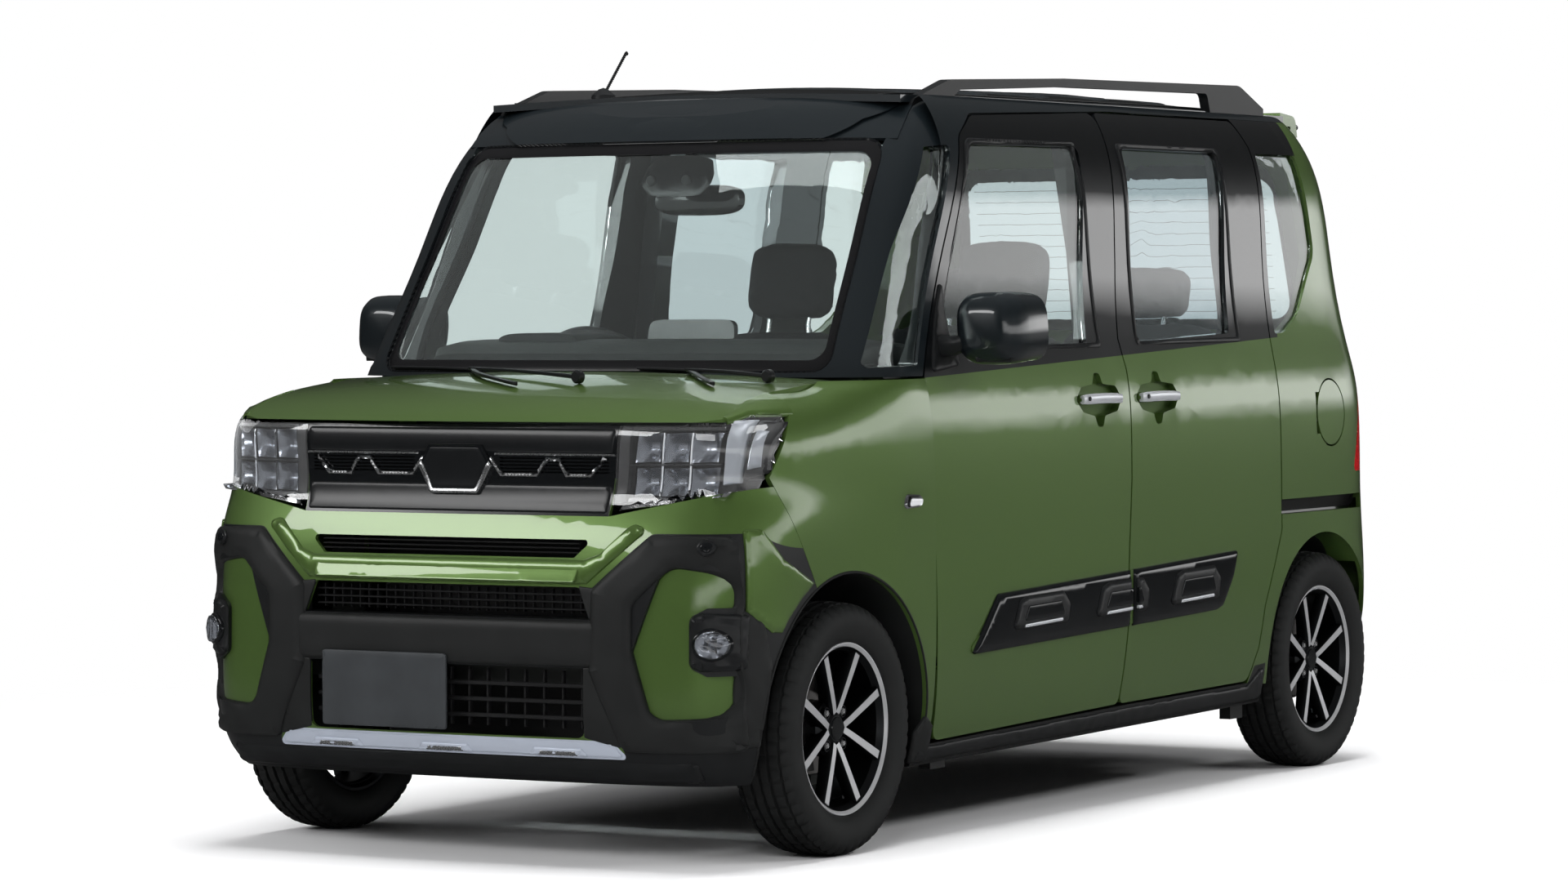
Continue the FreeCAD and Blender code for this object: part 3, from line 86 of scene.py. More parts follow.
def make_camera():
    ahead = Vector((math.cos(CAMERA_PITCH) * math.cos(CAMERA_YAW),
                    math.cos(CAMERA_PITCH) * math.sin(CAMERA_YAW), math.sin(CAMERA_PITCH)))
    level = ahead.cross(UP).normalized()
    above = level.cross(ahead)
    right = math.cos(CAMERA_ROLL) * level + math.sin(CAMERA_ROLL) * above
    up = -math.sin(CAMERA_ROLL) * level + math.cos(CAMERA_ROLL) * above
    data = bpy.data.cameras.new("camera")
    data.lens = CAMERA_LENS
    data.shift_x, data.shift_y = CAMERA_SHIFT
    data.clip_end = CAMERA_REACH
    camera = link(bpy.data.objects.new("camera", data))
    camera.matrix_world = Matrix.Translation(CAMERA_PLACE) @ Matrix((right, up, -ahead)).transposed().to_4x4()
    bpy.context.scene.camera = camera


def add(tree, kind, inputs=None, **settings):
    """New shader node; an input is a constant or the socket that feeds it."""
    made = tree.nodes.new(f"ShaderNode{kind}")
    for field, value in settings.items():
        setattr(made, field, value)
    for socket, value in (inputs or {}).items():
        if isinstance(value, bpy.types.NodeSocket):
            tree.links.new(value, made.inputs[socket])
        else:
            made.inputs[socket].default_value = value
    return made


def maths(tree, operation, *values):
    return add(tree, "Math", dict(enumerate(values)), operation=operation).outputs[0]


def mixed(tree, share, first, second):
    return add(tree, "MixShader", {0: share, 1: first.outputs[0], 2: second.outputs[0]})


def ramp_of(tree, value, stops):
    """Ramp through (place, grey or colour) stops."""
    ramp = add(tree, "ValToRGB", {0: value})
    elements = ramp.color_ramp.elements
    while len(elements) < len(stops):
        elements.new(0.5)
    for element, (position, tone) in zip(elements, stops):
        element.position = position
        element.color = (*tone, 1) if isinstance(tone, tuple) else (tone, tone, tone, 1)
    return ramp.outputs[0]


def seen_rays(tree):
    """1 for rays from the camera and through glass, else 0."""
    path = add(tree, "LightPath").outputs
    return maths(tree, "MAXIMUM", path["Is Camera Ray"], path["Is Transmission Ray"])


def make_world():
    """A pale studio: white to the camera, a soft dome elsewhere and a bright band seen in the paint."""
    world = bpy.data.worlds.new("studio")
    bpy.context.scene.world = world
    world.use_nodes = True
    tree = world.node_tree
    tree.nodes.remove(tree.nodes["Background"])
    way = add(tree, "SeparateXYZ", {0: add(tree, "TexCoord").outputs["Generated"]}).outputs
    side = add(tree, "MapRange",
               {"From Min": BAND_SIDE[0], "From Max": BAND_SIDE[1], "Value": way["X"]}).outputs[0]
    in_paint = add(tree, "LightPath").outputs["Is Glossy Ray"]
    band = maths(tree, "MULTIPLY", ramp_of(tree, way["Z"], BAND), side)
    band = maths(tree, "MULTIPLY", band, in_paint)
    dim = maths(tree, "MULTIPLY_ADD", in_paint, MIRRORED_DOME - 1, 1)
    sky = maths(tree, "MULTIPLY", ramp_of(tree, way["Z"], DOME), dim)
    dome = add(tree, "Background", {"Color": maths(tree, "MULTIPLY_ADD", band, BAND_BRIGHTNESS, sky)})
    white = add(tree, "Background", {"Color": WHITE})
    backdrop = mixed(tree, seen_rays(tree), dome, white)
    tree.links.new(backdrop.outputs[0], tree.nodes["World Output"].inputs["Surface"])


def make_floor():
    """Matt pale floor that fades to the white backdrop and keeps the soft shadow under the car; glossy rays
    see it dark grey, a painted shade on the car's lower sides.
    """
    mesh = bpy.data.meshes.new("floor")
    half = FLOOR_HALF
    corners = [(-half, -half, 0), (half, -half, 0), (half, half, 0), (-half, half, 0)]
    mesh.from_pydata(corners, [], [(0, 1, 2, 3)])
    floor = link(bpy.data.objects.new("floor", mesh))
    made = bpy.data.materials.new("floor")
    made.use_nodes = True
    tree = made.node_tree
    shader = tree.nodes[SHADER]
    shader.inputs["Base Color"].default_value = FLOOR_COLOUR
    shader.inputs["Roughness"].default_value = 0.75
    shader.inputs["Specular IOR Level"].default_value = 0.2
    # Painted shade: glossy rays see this dark grey instead of the pale floor, so the lower body and sills
    # reflect no light from below
    painted_dark_reflection = add(tree, "BsdfDiffuse", {"Color": FLOOR_SHADE_IN_REFLECTIONS})
    ground = mixed(tree, add(tree, "LightPath").outputs["Is Glossy Ray"], shader, painted_dark_reflection)
    from_middle = add(tree, "VectorMath", {0: add(tree, "TexCoord").outputs["Object"]}, operation="LENGTH")
    fade = add(tree, "MapRange", {"From Min": FLOOR_FADE[0], "From Max": FLOOR_FADE[1],
                                  "Value": from_middle.outputs["Value"]})
    glow = add(tree, "Emission", {"Color": WHITE})
    share = maths(tree, "MULTIPLY", fade.outputs[0], seen_rays(tree))
    blend = mixed(tree, share, ground, glow)
    tree.links.new(blend.outputs[0], tree.nodes["Material Output"].inputs["Surface"])
    mesh.materials.append(made)


def make_lights():
    for name, (spot, target, width, height, power, mirrored_in_paint) in LAMPS.items():
        data = bpy.data.lights.new(name, "AREA")
        data.shape = "RECTANGLE"
        data.size, data.size_y = width, height
        data.energy = power
        lamp = link(bpy.data.objects.new(name, data))
        lamp.location = spot
        lamp.rotation_euler = (Vector(target) - Vector(spot)).to_track_quat("-Z", "Y").to_euler()
        lamp.visible_glossy = mirrored_in_paint


# Materials

SHADER = "Principled BSDF"
MATERIALS = {}
GREEN = (0.085, 0.150, 0.036)
GREEN_SHEEN = (0.62, 0.34)
BLACK_GLOSS = (0.006, 0.007, 0.008)

# Height of the green paint's upper edge at the origin, and how it climbs towards the tail
BELT = 1.0743
BELT_RISE = 0.0392
QUARTER_FRONT, QUARTER_TOP = 1.055, (1.535, 1.30)
NOISE_STOPS = (0.3, 0.7)


def surface(name, colour, roughness, metallic=0.0, **sockets):
    """Principled material whose constants sit on the shader's own sockets."""
    made = bpy.data.materials.new(name)
    made.use_nodes = True
    shader = made.node_tree.nodes[SHADER]
    shader.inputs["Base Color"].default_value = (*colour, 1)
    shader.inputs["Roughness"].default_value = roughness
    shader.inputs["Metallic"].default_value = metallic
    for socket, value in sockets.items():
        shader.inputs[socket.replace("_", " ")].default_value = value
    made.diffuse_color = (*colour, 1)
    MATERIALS[name] = made
    return made


def noise(made, scale, detail=2.0):
    tree = made.node_tree
    spot = add(tree, "TexCoord").outputs["Object"]
    return add(tree, "TexNoise", {"Scale": scale, "Detail": detail, "Vector": spot}).outputs["Fac"]


def bumped(made, height, strength, distance):
    tree = made.node_tree
    bump = add(tree, "Bump", {"Strength": strength, "Distance": distance, "Height": height})
    tree.links.new(bump.outputs[0], tree.nodes[SHADER].inputs["Normal"])


def varied(made, factor, low, high, socket="Base Color"):
    """Socket runs from one value to another with a texture."""
    tree = made.node_tree
    ramp = ramp_of(tree, factor, list(zip(NOISE_STOPS, (low, high))))
    tree.links.new(ramp, tree.nodes[SHADER].inputs[socket])


def shade(colour, share):
    return tuple(channel * share for channel in colour)


def paint(name, colour, metallic, roughness):
    """Flake paint under a clear coat."""
    made = surface(name, colour, roughness, metallic, Coat_Weight=1.0, Coat_Roughness=0.03, Coat_IOR=1.5)
    varied(made, noise(made, 2600, 1.0), shade(colour, 0.90), shade(colour, 1.10))
    bumped(made, noise(made, 260, 1.0), 0.012, 0.001)
    return made


def two_tone(name, zones):
    """Green paint that is black inside any zone, a list of (axis, limit, above); Z leans with the belt."""
    made = paint(name, GREEN, *GREEN_SHEEN)
    tree = made.node_tree
    shader = tree.nodes[SHADER]
    green = shader.inputs["Base Color"].links[0].from_socket
    spot = add(tree, "TexCoord").outputs["Object"]
    along = add(tree, "SeparateXYZ", {0: spot}).outputs["Y"]
    leaning = add(tree, "VectorMath", {0: along, 1: (0, 0, -BELT_RISE), 2: spot}, operation="MULTIPLY_ADD")
    part = add(tree, "SeparateXYZ", {0: leaning.outputs[0]}).outputs
    mask = None
    for zone in zones:
        area = None
        for axis, limit, above in zone:
            test = maths(tree, "GREATER_THAN" if above else "LESS_THAN", part[axis], limit)
            area = test if area is None else maths(tree, "MULTIPLY", area, test)
        mask = area if mask is None else maths(tree, "MAXIMUM", mask, area)
    mixer = add(tree, "Mix", {"Factor": mask}, data_type="RGBA")
    first, second = [socket for socket in mixer.inputs if socket.type == "RGBA"]
    tree.links.new(green, first)
    second.default_value = (*BLACK_GLOSS, 1)
    result = [socket for socket in mixer.outputs if socket.type == "RGBA"][0]
    tree.links.new(result, shader.inputs["Base Color"])


def moulded(name, colour, roughness, grain=900, strength=0.22):
    """Grained plastic."""
    made = surface(name, colour, roughness, 0.0, Specular_IOR_Level=0.4)
    varied(made, noise(made, 14, 3.0), shade(colour, 0.88), shade(colour, 1.12))
    bumped(made, noise(made, grain), strength, 0.0006)


def metal(name, colour, roughness, grain=400):
    made = surface(name, colour, roughness, 1.0)
    varied(made, noise(made, grain), max(roughness - 0.05, 0.02), roughness + 0.06, "Roughness")


def glass(name, tint, roughness=0.0, transmission=1.0):
    made = surface(name, tint, roughness, 0.0, IOR=1.45, Transmission_Weight=transmission)
    varied(made, noise(made, 2.2, 1.0), shade(tint, 0.985), tint)


def make_materials():
    paint("green_paint", GREEN, *GREEN_SHEEN)
    two_tone("door_paint", [[("Z", BELT, True)]])
    two_tone("quarter_paint", [[("Z", BELT, True), ("Y", QUARTER_FRONT, False)],
                               [("Z", QUARTER_TOP[0], True), ("Y", QUARTER_TOP[1], False)]])
    paint("black_paint", (0.007, 0.010, 0.012), 0.3, 0.30)
    moulded("trim", (0.009, 0.0095, 0.0095), 0.50)
    moulded("satin_trim", (0.007, 0.0075, 0.008), 0.34, 1400, 0.08)
    moulded("satin_black", (0.006, 0.0065, 0.007), 0.24, 1400, 0.04)
    moulded("dark_inside", (0.006, 0.006, 0.0065), 0.6)
    moulded("lamp_black", (0.010, 0.010, 0.011), 0.30, 900, 0.05)
    moulded("dash", (0.013, 0.015, 0.015), 0.6)
    moulded("leather", (0.022, 0.022, 0.023), 0.45, 1100, 0.35)
    moulded("structure", (0.02, 0.022, 0.02), 0.5)
    moulded("plate_dark", (0.030, 0.033, 0.036), 0.45, 700, 0.05)
    moulded("rubber", (0.0085, 0.009, 0.009), 0.6, 500, 0.3)
    moulded("fabric", (0.016, 0.017, 0.019), 0.85, 1500, 0.05)
    surface("gloss_black", (0.004, 0.0045, 0.005), 0.14)
    surface("frit", (0.004, 0.004, 0.0045), 0.3)
    surface("heater", (0.10, 0.06, 0.04), 0.4, 0.4)
    surface("mirror_glass", (0.80, 0.82, 0.84), 0.02, 1.0)
    surface("silver", (0.44, 0.48, 0.56), 0.34, 0.4)
    surface("satin_silver", (0.62, 0.64, 0.67), 0.26, 0.6)
    surface("reflector", (0.16, 0.17, 0.19), 0.2, 0.8)
    surface("lamp_grey", (0.34, 0.36, 0.39), 0.25, 0.2)
    surface("machined", (0.46, 0.465, 0.475), 0.34, 0.5)
    surface("lamp_white", (0.86, 0.88, 0.90), 0.22, 0.0, Coat_Weight=0.5)
    metal("lamp_silver", (0.60, 0.60, 0.60), 0.25)
    metal("chrome", (0.80, 0.81, 0.83), 0.08)
    metal("satin_chrome", (0.72, 0.73, 0.74), 0.26)
    metal("gunmetal", (0.045, 0.047, 0.050), 0.38)
    metal("cast", (0.10, 0.10, 0.10), 0.55)
    metal("steel", (0.32, 0.31, 0.30), 0.42)
    glass("window_glass", (0.80, 0.87, 0.86))
    glass("privacy_glass", (0.62, 0.70, 0.72))
    glass("lens", (0.96, 0.97, 0.98))
    glass("red_lens", (0.75, 0.03, 0.035), 0.08, 0.75)


NODE_FINISH = {
    "green_paint": ("bonnet", "front_bumper", "fuel_lid", "rear_bumper", "tailgate", "wings"),
    "door_paint": ("door_left", "door_right", "sliding_doors"),
    "quarter_paint": ("quarters",),
    "black_paint": ("roof", "side_frames"),
    "gloss_black": ("mirror_left", "mirror_right", "grille", "slide_rails"),
    "satin_trim": ("roof_rails", "bumper_trim"),
    "trim": ("arch_liners", "cowl", "sills", "antenna", "fuel_tank"),
    "dash": ("dashboard", "steering_wheel"),
    "structure": ("floor_pan", "front_structure"),
    "silver": ("front_garnish",),
    "cast": ("engine", "knuckle_left", "knuckle_right"),
    "steel": ("exhaust", "rear_axle"),
    "fabric": ("front_seats", "rear_seat"),
    "window_glass": ("windscreen", "door_glass_left", "door_glass_right", "fixed_side_glass"),
    "privacy_glass": ("sliding_door_glass", "tailgate_glass"),
    "lens": ("headlamps",),
    "red_lens": ("tail_lamps",),
    "rubber": ("tyre_front_left", "tyre_front_right", "tyre_rear_left", "tyre_rear_right"),
    "machined": ("rim_front_left", "rim_front_right", "rim_rear_left", "rim_rear_right"),
}


def dress_nodes():
    for finish, names in NODE_FINISH.items():
        for name in names:
            materials = NODES[name].data.materials
            materials.clear()
            materials.append(MATERIALS[finish])


# Shapes

SPACING = 0.008
CORNER_STEPS = 6
CORNER_SHARE = 0.49
SHORTEST = 0.08
WELD = 1e-6
EDGE_ROWS = (0.12, 0.4, 1.0)
DEEPEST = 0.26
VIEWS = {
    "left": (lambda u, v: Vector((2, u, v)), Vector((-1, 0, 0))),
    "front": (lambda u, v: Vector((u, -3, v)), Vector((0, 1, 0))),
    "rear": (lambda u, v: Vector((u, 3, v)), Vector((0, -1, 0))),
    "top": (lambda u, v: Vector((u, v, 3)), Vector((0, 0, -1))),
}
TREES = {}


def rounded(corners, spacing=SPACING):
    """Dense closed outline, in metres, through (u, v) or (u, v, radius) corners given in millimetres."""
    scaled = [tuple(value / MM for value in corner) for corner in corners]
    count = len(scaled)
    points = []
    for index, corner in enumerate(scaled):
        here = Vector(corner[:2])
        radius = corner[2] if len(corner) > 2 else 0
        if not radius:
            points.append(here)
            continue
        back = Vector(scaled[index - 1][:2]) - here
        ahead = Vector(scaled[(index + 1) % count][:2]) - here
        room = min(back.length, ahead.length) * CORNER_SHARE
        back.normalize()
        ahead.normalize()
        half = back.angle(ahead) / 2
        reach = min(radius / math.tan(half), room)
        radius = reach * math.tan(half)
        start, stop = here + back * reach, here + ahead * reach
        centre = here + (back + ahead).normalized() * (radius / math.sin(half))
        for step in range(CORNER_STEPS + 1):
            ray = (start - centre).lerp(stop - centre, step / CORNER_STEPS)
            points.append(centre + ray.normalized() * radius)
    dense = []
    for index, point in enumerate(points):
        following = points[(index + 1) % len(points)]
        pieces = max(1, math.ceil((following - point).length / spacing))
        dense += [point.lerp(following, step / pieces) for step in range(pieces)]
    kept = [dense[0]]
    for point in dense[1:]:
        if (point - kept[-1]).length > spacing * SHORTEST:
            kept.append(point)
    if (kept[0] - kept[-1]).length < spacing * SHORTEST:
        kept.pop()
    return np.array([[point.x, point.y] for point in kept])


def distances(points, rings):
    """Distance from each point to the nearest of some closed outlines."""
    found = np.full(len(points), 1e9)
    for ring in rings:
        span = np.roll(ring, -1, axis=0) - ring
        length = np.maximum((span ** 2).sum(axis=1), 1e-12)
        for base, step, square in zip(ring, span, length):
            share = np.clip(((points - base) @ step) / square, 0, 1)
            gap = points - (base + share[:, None] * step)
            found = np.minimum(found, np.sqrt((gap ** 2).sum(axis=1)))
    return found


def inside(points, rings):
    """Which points lie in the first ring and in none of the others."""
    x, y = points[:, 0], points[:, 1]
    found = None
    for ring in rings:
        hit = np.zeros(len(points), bool)
        for (x1, y1), (x2, y2) in zip(ring, np.roll(ring, -1, axis=0)):
            crossing = (y1 > y) != (y2 > y)
            with np.errstate(divide="ignore", invalid="ignore"):
                at = (x2 - x1) * (y - y1) / (y2 - y1) + x1
            hit ^= crossing & (x < at)
        found = hit if found is None else found & ~hit
    return found


def tree_of(names):
    """Search tree over the surfaces of some CAD nodes."""
    if names not in TREES:
        points, faces = [], []
        for name in names:
            mesh = NODES[name].data
            offset = len(points)
            points += [vertex.co.copy() for vertex in mesh.vertices]
            faces += [[index + offset for index in polygon.vertices] for polygon in mesh.polygons]
        TREES[names] = BVHTree.FromPolygons(points, faces)
    return TREES[names]


def touched(names, view, u, v):
    """Spot and normal where the line of a view meets some CAD nodes; u and v are in millimetres."""
    origin, ahead = VIEWS[view]
    spot, normal, _, _ = tree_of(names).ray_cast(origin(u / MM, v / MM), ahead)
    return spot, normal


def touched_path(names, view, spots, shift):
    """Path over some CAD nodes, moved by a shift in millimetres; spots that miss them are left out."""
    found = [touched(names, view, u, v)[0] for u, v in spots]
    return [spot + Vector(shift) / MM for spot in found if spot is not None]


def new_object(name, mesh, body, finish):
    mesh.materials.append(MATERIALS[finish])
    item = link(bpy.data.objects.new(name, mesh))
    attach(item, body)
    return item


def smooth(mesh, angle=35):
    mesh.shade_smooth()
    mesh.set_sharp_from_angle(angle=math.radians(angle))


def mesh_of(name, points, faces, angle=35, closed=True):
    """Mesh with shared corners and outward faces, or with its faces as given where it is open."""
    mesh = bpy.data.meshes.new(name)
    mesh.from_pydata([tuple(point) for point in points], [], [tuple(face) for face in faces])
    mesh.validate()
    if closed:
        welded = bmesh.new()
        welded.from_mesh(mesh)
        bmesh.ops.remove_doubles(welded, verts=welded.verts, dist=WELD)
        bmesh.ops.recalc_face_normals(welded, faces=welded.faces)
        welded.to_mesh(mesh)
        welded.free()
    smooth(mesh, angle)
    return mesh


def mirrored(mesh, name):
    """Copy on the other side of the car's middle plane."""
    made = mesh.copy()
    made.name = name
    made.materials.clear()
    made.transform(Matrix.Scale(-1, 4, ACROSS))
    made.flip_normals()
    return made


def place(name, mesh, body, finish, both=True):
    """Piece made from a left-hand mesh, on one side or both; {hand} in a body's name is the side."""
    made = []
    for side in (LEFT, RIGHT) if both else (LEFT,):
        label = f"{name}_{HANDS[side]}" if both else name
        shape = mesh if side == LEFT else mirrored(mesh, label)
        made.append(new_object(label, shape, body.format(hand=HANDS[side]), finish))
    return made


def patch(corners, holes, spacing, edge):
    """Triangulated outline with its holes: points, triangles and each point's distance from the border."""
    rings = [rounded(corners, spacing)] + [rounded(hole, spacing) for hole in holes]
    points, edges = [], []
    for ring in rings:
        offset = len(points)
        points += ring.tolist()
        edges += [(offset + index, offset + (index + 1) % len(ring)) for index in range(len(ring))]
    low, high = rings[0].min(axis=0), rings[0].max(axis=0)
    columns, rows = [np.arange(start + spacing / 2, stop, spacing) for start, stop in zip(low, high)]
    grid = np.array([(u, v) for v in rows for u in columns]).reshape(-1, 2)
    extra = [grid]
    for share in EDGE_ROWS if edge else ():
        for ring in rings:
            step = np.roll(ring, -1, axis=0) - np.roll(ring, 1, axis=0)
            normal = np.stack([-step[:, 1], step[:, 0]], axis=1)
            normal /= np.maximum(np.linalg.norm(normal, axis=1), 1e-9)[:, None]
            extra += [ring + normal * side * edge * share for side in (1, -1)]
    candidates = np.concatenate(extra)
    kept = inside(candidates, rings)
    is_grid = (np.arange(len(kept)) < len(grid))[kept]
    candidates = candidates[kept]
    border = distances(candidates, rings)
    if edge:
        off_row = np.min([abs(border - edge * share) for share in EDGE_ROWS], axis=0)
        wanted = np.where(is_grid, border > edge + spacing * 0.35, off_row < edge * 0.05)
    else:
        wanted = border > spacing * 0.35
    everything = np.concatenate([np.array(points), candidates[wanted]])
    made, _, faces, _, _, _ = delaunay_2d_cdt([Vector(point) for point in everything], edges,
                                              [list(range(len(rings[0])))], 0, 1e-6)
    flat = np.array([[point.x, point.y] for point in made])
    middles = np.array([flat[list(face)].mean(axis=0) for face in faces])
    triangles = [list(face) for face, keep in zip(faces, inside(middles, rings)) if keep]
    return flat, triangles, distances(flat, rings)


def lay(flat, view, base):
    """Points and outward normals of the base surface under flat points."""
    origin, ahead = VIEWS[view]
    tree = tree_of(base)
    hits = [tree.ray_cast(origin(u, v), ahead) for u, v in flat]
    depths = [distance for _, _, _, distance in hits if distance is not None]
    far = float(np.median(depths)) + DEEPEST if depths else 0
    spots, normals, good, missing = [], [], [], []
    for index, (spot, normal, _, distance) in enumerate(hits):
        found = spot is not None and distance <= far
        (good if found else missing).append(index)
        spots.append(spot)
        normals.append(-normal if found and normal.dot(ahead) > 0 else normal)
    if not good:
        raise ValueError(f"nothing under {view} {flat[:2]}")
    places = flat[good]
    for index in missing:
        near = good[int(((places - flat[index]) ** 2).sum(axis=1).argmin())]
        spots[index] = origin(*flat[index]) + (spots[near] - origin(*flat[near]))
        normals[index] = normals[near]
    return spots, normals


def relax(values, triangles, rounds):
    """Averages a value over each point's neighbours, to even out the facets of the base."""
    values = np.array([tuple(value) for value in values])
    ends = np.array([pair for a, b, c in triangles for pair in ((a, b), (b, c), (c, a))])
    for _ in range(rounds):
        total = values.copy()
        weight = np.ones(len(values))
        for here, there in ((0, 1), (1, 0)):
            np.add.at(total, ends[:, here], values[ends[:, there]])
            np.add.at(weight, ends[:, here], 1)
        values = total / weight[:, None]
    return values


def rim_of(faces):
    """Edges that only one face has, in that face's direction."""
    sides = {}
    for face in faces:
        for index, start in enumerate(face):
            sides[(start, face[(index + 1) % len(face)])] = True
    return [(start, stop) for start, stop in sides if (stop, start) not in sides]


def pad_mesh(name, view, base, corners, rise, edge=4, holes=(), spacing=12, sink=3, lift=0, relief=None,
             even=0):
    """Panel laid on the CAD surface: rounded border, a raised face and a skirt that runs into the surface."""
    flat, triangles, border = patch(corners, holes, spacing / MM, edge / MM)
    spots, normals = lay(flat, view, base)
    normals = [Vector(normal).normalized() for normal in relax(normals, triangles, 3)]
    if even:
        ahead = np.array(VIEWS[view][1])
        raw = np.array([tuple(spot) for spot in spots])
        spots = raw + ((relax(spots, triangles, even) - raw) @ ahead)[:, None] * ahead
    share = np.clip(border / (edge / MM), 0, 1)
    height = (lift + rise * np.sqrt(np.clip(1 - (1 - share) ** 2, 0, 1))) / MM
    if relief:
        height = height + np.array([relief(u * MM, v * MM) for u, v in flat]) / MM
    points = [Vector(spot) + normal * float(up) for spot, normal, up in zip(spots, normals, height)]
    rim = rim_of(triangles)
    below = {}
    for index in {index for pair in rim for index in pair}:
        below[index] = len(points)
        points.append(Vector(spots[index]) - normals[index] * sink / MM)
    skirt = [[stop, start, below[start], below[stop]] for start, stop in rim]
    return mesh_of(name, points, triangles + skirt)


def pad(name, view, base, corners, rise, finish, body="body", both=True, **options):
    """Pad made on the left side or the middle, and mirrored where both sides have one."""
    return place(name, pad_mesh(name, view, base, corners, rise, **options), body, finish, both)


def middle_pad(*values, **options):
    """Pad that is on one side only, or crosses the middle plane."""
    return pad(*values, both=False, **options)


def both_sides(corners):
    """Left half of a symmetric outline, from bottom to top, with its right half added."""
    return list(corners) + [(-corner[0], *corner[1:]) for corner in reversed(corners)]


def turns_of(count):
    return [2 * math.pi * step / count for step in range(count)]


def disc(centre, half_u, half_v, count=32):
    """Outline of a round pad."""
    return [(centre[0] + half_u * math.cos(turn),
             centre[1] + half_v * math.sin(turn)) for turn in turns_of(count)]


def circle(radius, count=12):
    return disc((0, 0), radius, radius, count)


def bar_section(width, height, bevel):
    w, h = width / 2, height / 2
    return [(w - bevel, -h), (w, -h + bevel), (w, h - bevel), (w - bevel, h), (-w + bevel, h),
            (-w, h - bevel), (-w, -h + bevel), (-w + bevel, -h)]


def curve_through(points, steps=8):
    """Smooth path, in metres, through points in millimetres."""
    spots = [Vector(point) / MM for point in points]
    if len(spots) < 3:
        return spots
    path = []
    for index in range(len(spots) - 1):
        p0, p3 = spots[max(index - 1, 0)], spots[min(index + 2, len(spots) - 1)]
        p1, p2 = spots[index], spots[index + 1]
        for step in range(steps):
            t = step / steps
            path.append(0.5 * ((2 * p1) + (p2 - p0) * t + (2 * p0 - 5 * p1 + 4 * p2 - p3) * t * t
                               + (3 * p1 - p0 - 3 * p2 + p3) * t ** 3))
    path.append(spots[-1])
    return path


def band_faces(rings, count, closed=False):
    """Faces between rings of points, numbered ring by ring; the ends are capped unless it is closed."""
    faces = []
    for ring in range(rings if closed else rings - 1):
        after = (ring + 1) % rings
        for step in range(count):
            beside = (step + 1) % count
            faces.append((ring * count + step, ring * count + beside, after * count + beside,
                          after * count + step))
    if not closed:
        faces.append(tuple(range(count)))
        faces.append(tuple((rings - 1) * count + step for step in reversed(range(count))))
    return faces


def sweep_mesh(name, path, section, sizes=None, up=UP, closed=False):
    """Section, (across, up) points in millimetres, drawn along a path; sizes scale it from point to point."""
    points = []
    total = len(path)
    for index, spot in enumerate(path):
        before, after = max(index - 1, 0), min(index + 1, total - 1)
        if closed:
            before, after = index - 1, (index + 1) % total
        ahead = (path[after] - path[before]).normalized()
        across = ahead.cross(up).normalized()
        above = across.cross(ahead).normalized()
        share = sizes[index] if sizes else 1.0
        points += [spot + across * u * share / MM + above * v * share / MM for u, v in section]
    return mesh_of(name, points, band_faces(total, len(section), closed))


def loft_mesh(name, rings, angle=35):
    """Closed rings with equal counts of points, in millimetres, joined in order."""
    points = [Vector(point) / MM for ring in rings for point in ring]
    return mesh_of(name, points, band_faces(len(rings), len(rings[0])), angle)


def lathe_mesh(name, profile, turns=96, worn=None):
    """Profile of (x, radius) in millimetres turned about X; what worn() gives is taken off the radius."""
    points = []
    for turn, theta in enumerate(turns_of(turns)):
        for x, radius in profile:
            reach = (radius - (worn(turn, x, radius) if worn else 0)) / MM
            points.append((x / MM, reach * math.cos(theta), reach * math.sin(theta)))
    faces = [(a, d, c, b) for a, b, c, d in band_faces(turns, len(profile), True)]
    return mesh_of(name, points, faces, 30)


def loft(name, rings, finish, body="body", both=False, angle=35):
    return place(name, loft_mesh(name, rings, angle), body, finish, both)


def block(name, rows, finish, body="body", both=False, angle=35, axes=(ACROSS, UP), power=4, count=32):
    """Loft through rounded rectangles; a row holds the middle's x, y, z and the half sizes along the axes."""
    rings = [super_ring((x, y, z), half_u, half_v, *axes, power, count) for x, y, z, half_u, half_v in rows]
    return loft(name, rings, finish, body, both, angle)


def sweep(name, path, section, finish, body="body", both=False, **options):
    return place(name, sweep_mesh(name, path, section, **options), body, finish, both)


def tube(name, points, radius, finish, both=False, up=UP):
    return sweep(name, curve_through(points), circle(radius), finish, "body", both, up=up)


def lathe(name, profile, turns, spot, finish, body="body", both=False, turn=None):
    return place(name, moved(lathe_mesh(name, profile, turns), spot, turn), body, finish, both)


def moved(mesh, spot, turn=None):
    matrix = Matrix.Translation(Vector(spot) / MM)
    mesh.transform(matrix @ turn.to_4x4() if turn else matrix)
    return mesh


def turned(degrees, axis):
    return Matrix.Rotation(math.radians(degrees), 3, axis)


def joined(name, meshes, angle=35):
    """Several meshes as one; each keeps its own finish by its order."""
    made = bmesh.new()
    offset = 0
    for order, mesh in enumerate(meshes):
        made.from_mesh(mesh)
        made.faces.ensure_lookup_table()
        for face in made.faces[offset:]:
            face.material_index = order
        offset = len(made.faces)
    result = bpy.data.meshes.new(name)
    made.to_mesh(result)
    made.free()
    smooth(result, angle)
    return result


def super_ring(centre, half_u, half_v, axis_u, axis_v, power, count):
    """Rounded rectangle about a centre, in millimetres."""
    centre, axis_u, axis_v = Vector(centre), Vector(axis_u), Vector(axis_v)
    ring = []
    for turn in turns_of(count):
        c, s = math.cos(turn), math.sin(turn)
        ring.append(centre + axis_u * half_u * math.copysign(abs(c) ** (2 / power), c)
                    + axis_v * half_v * math.copysign(abs(s) ** (2 / power), s))
    return ring


# Nose

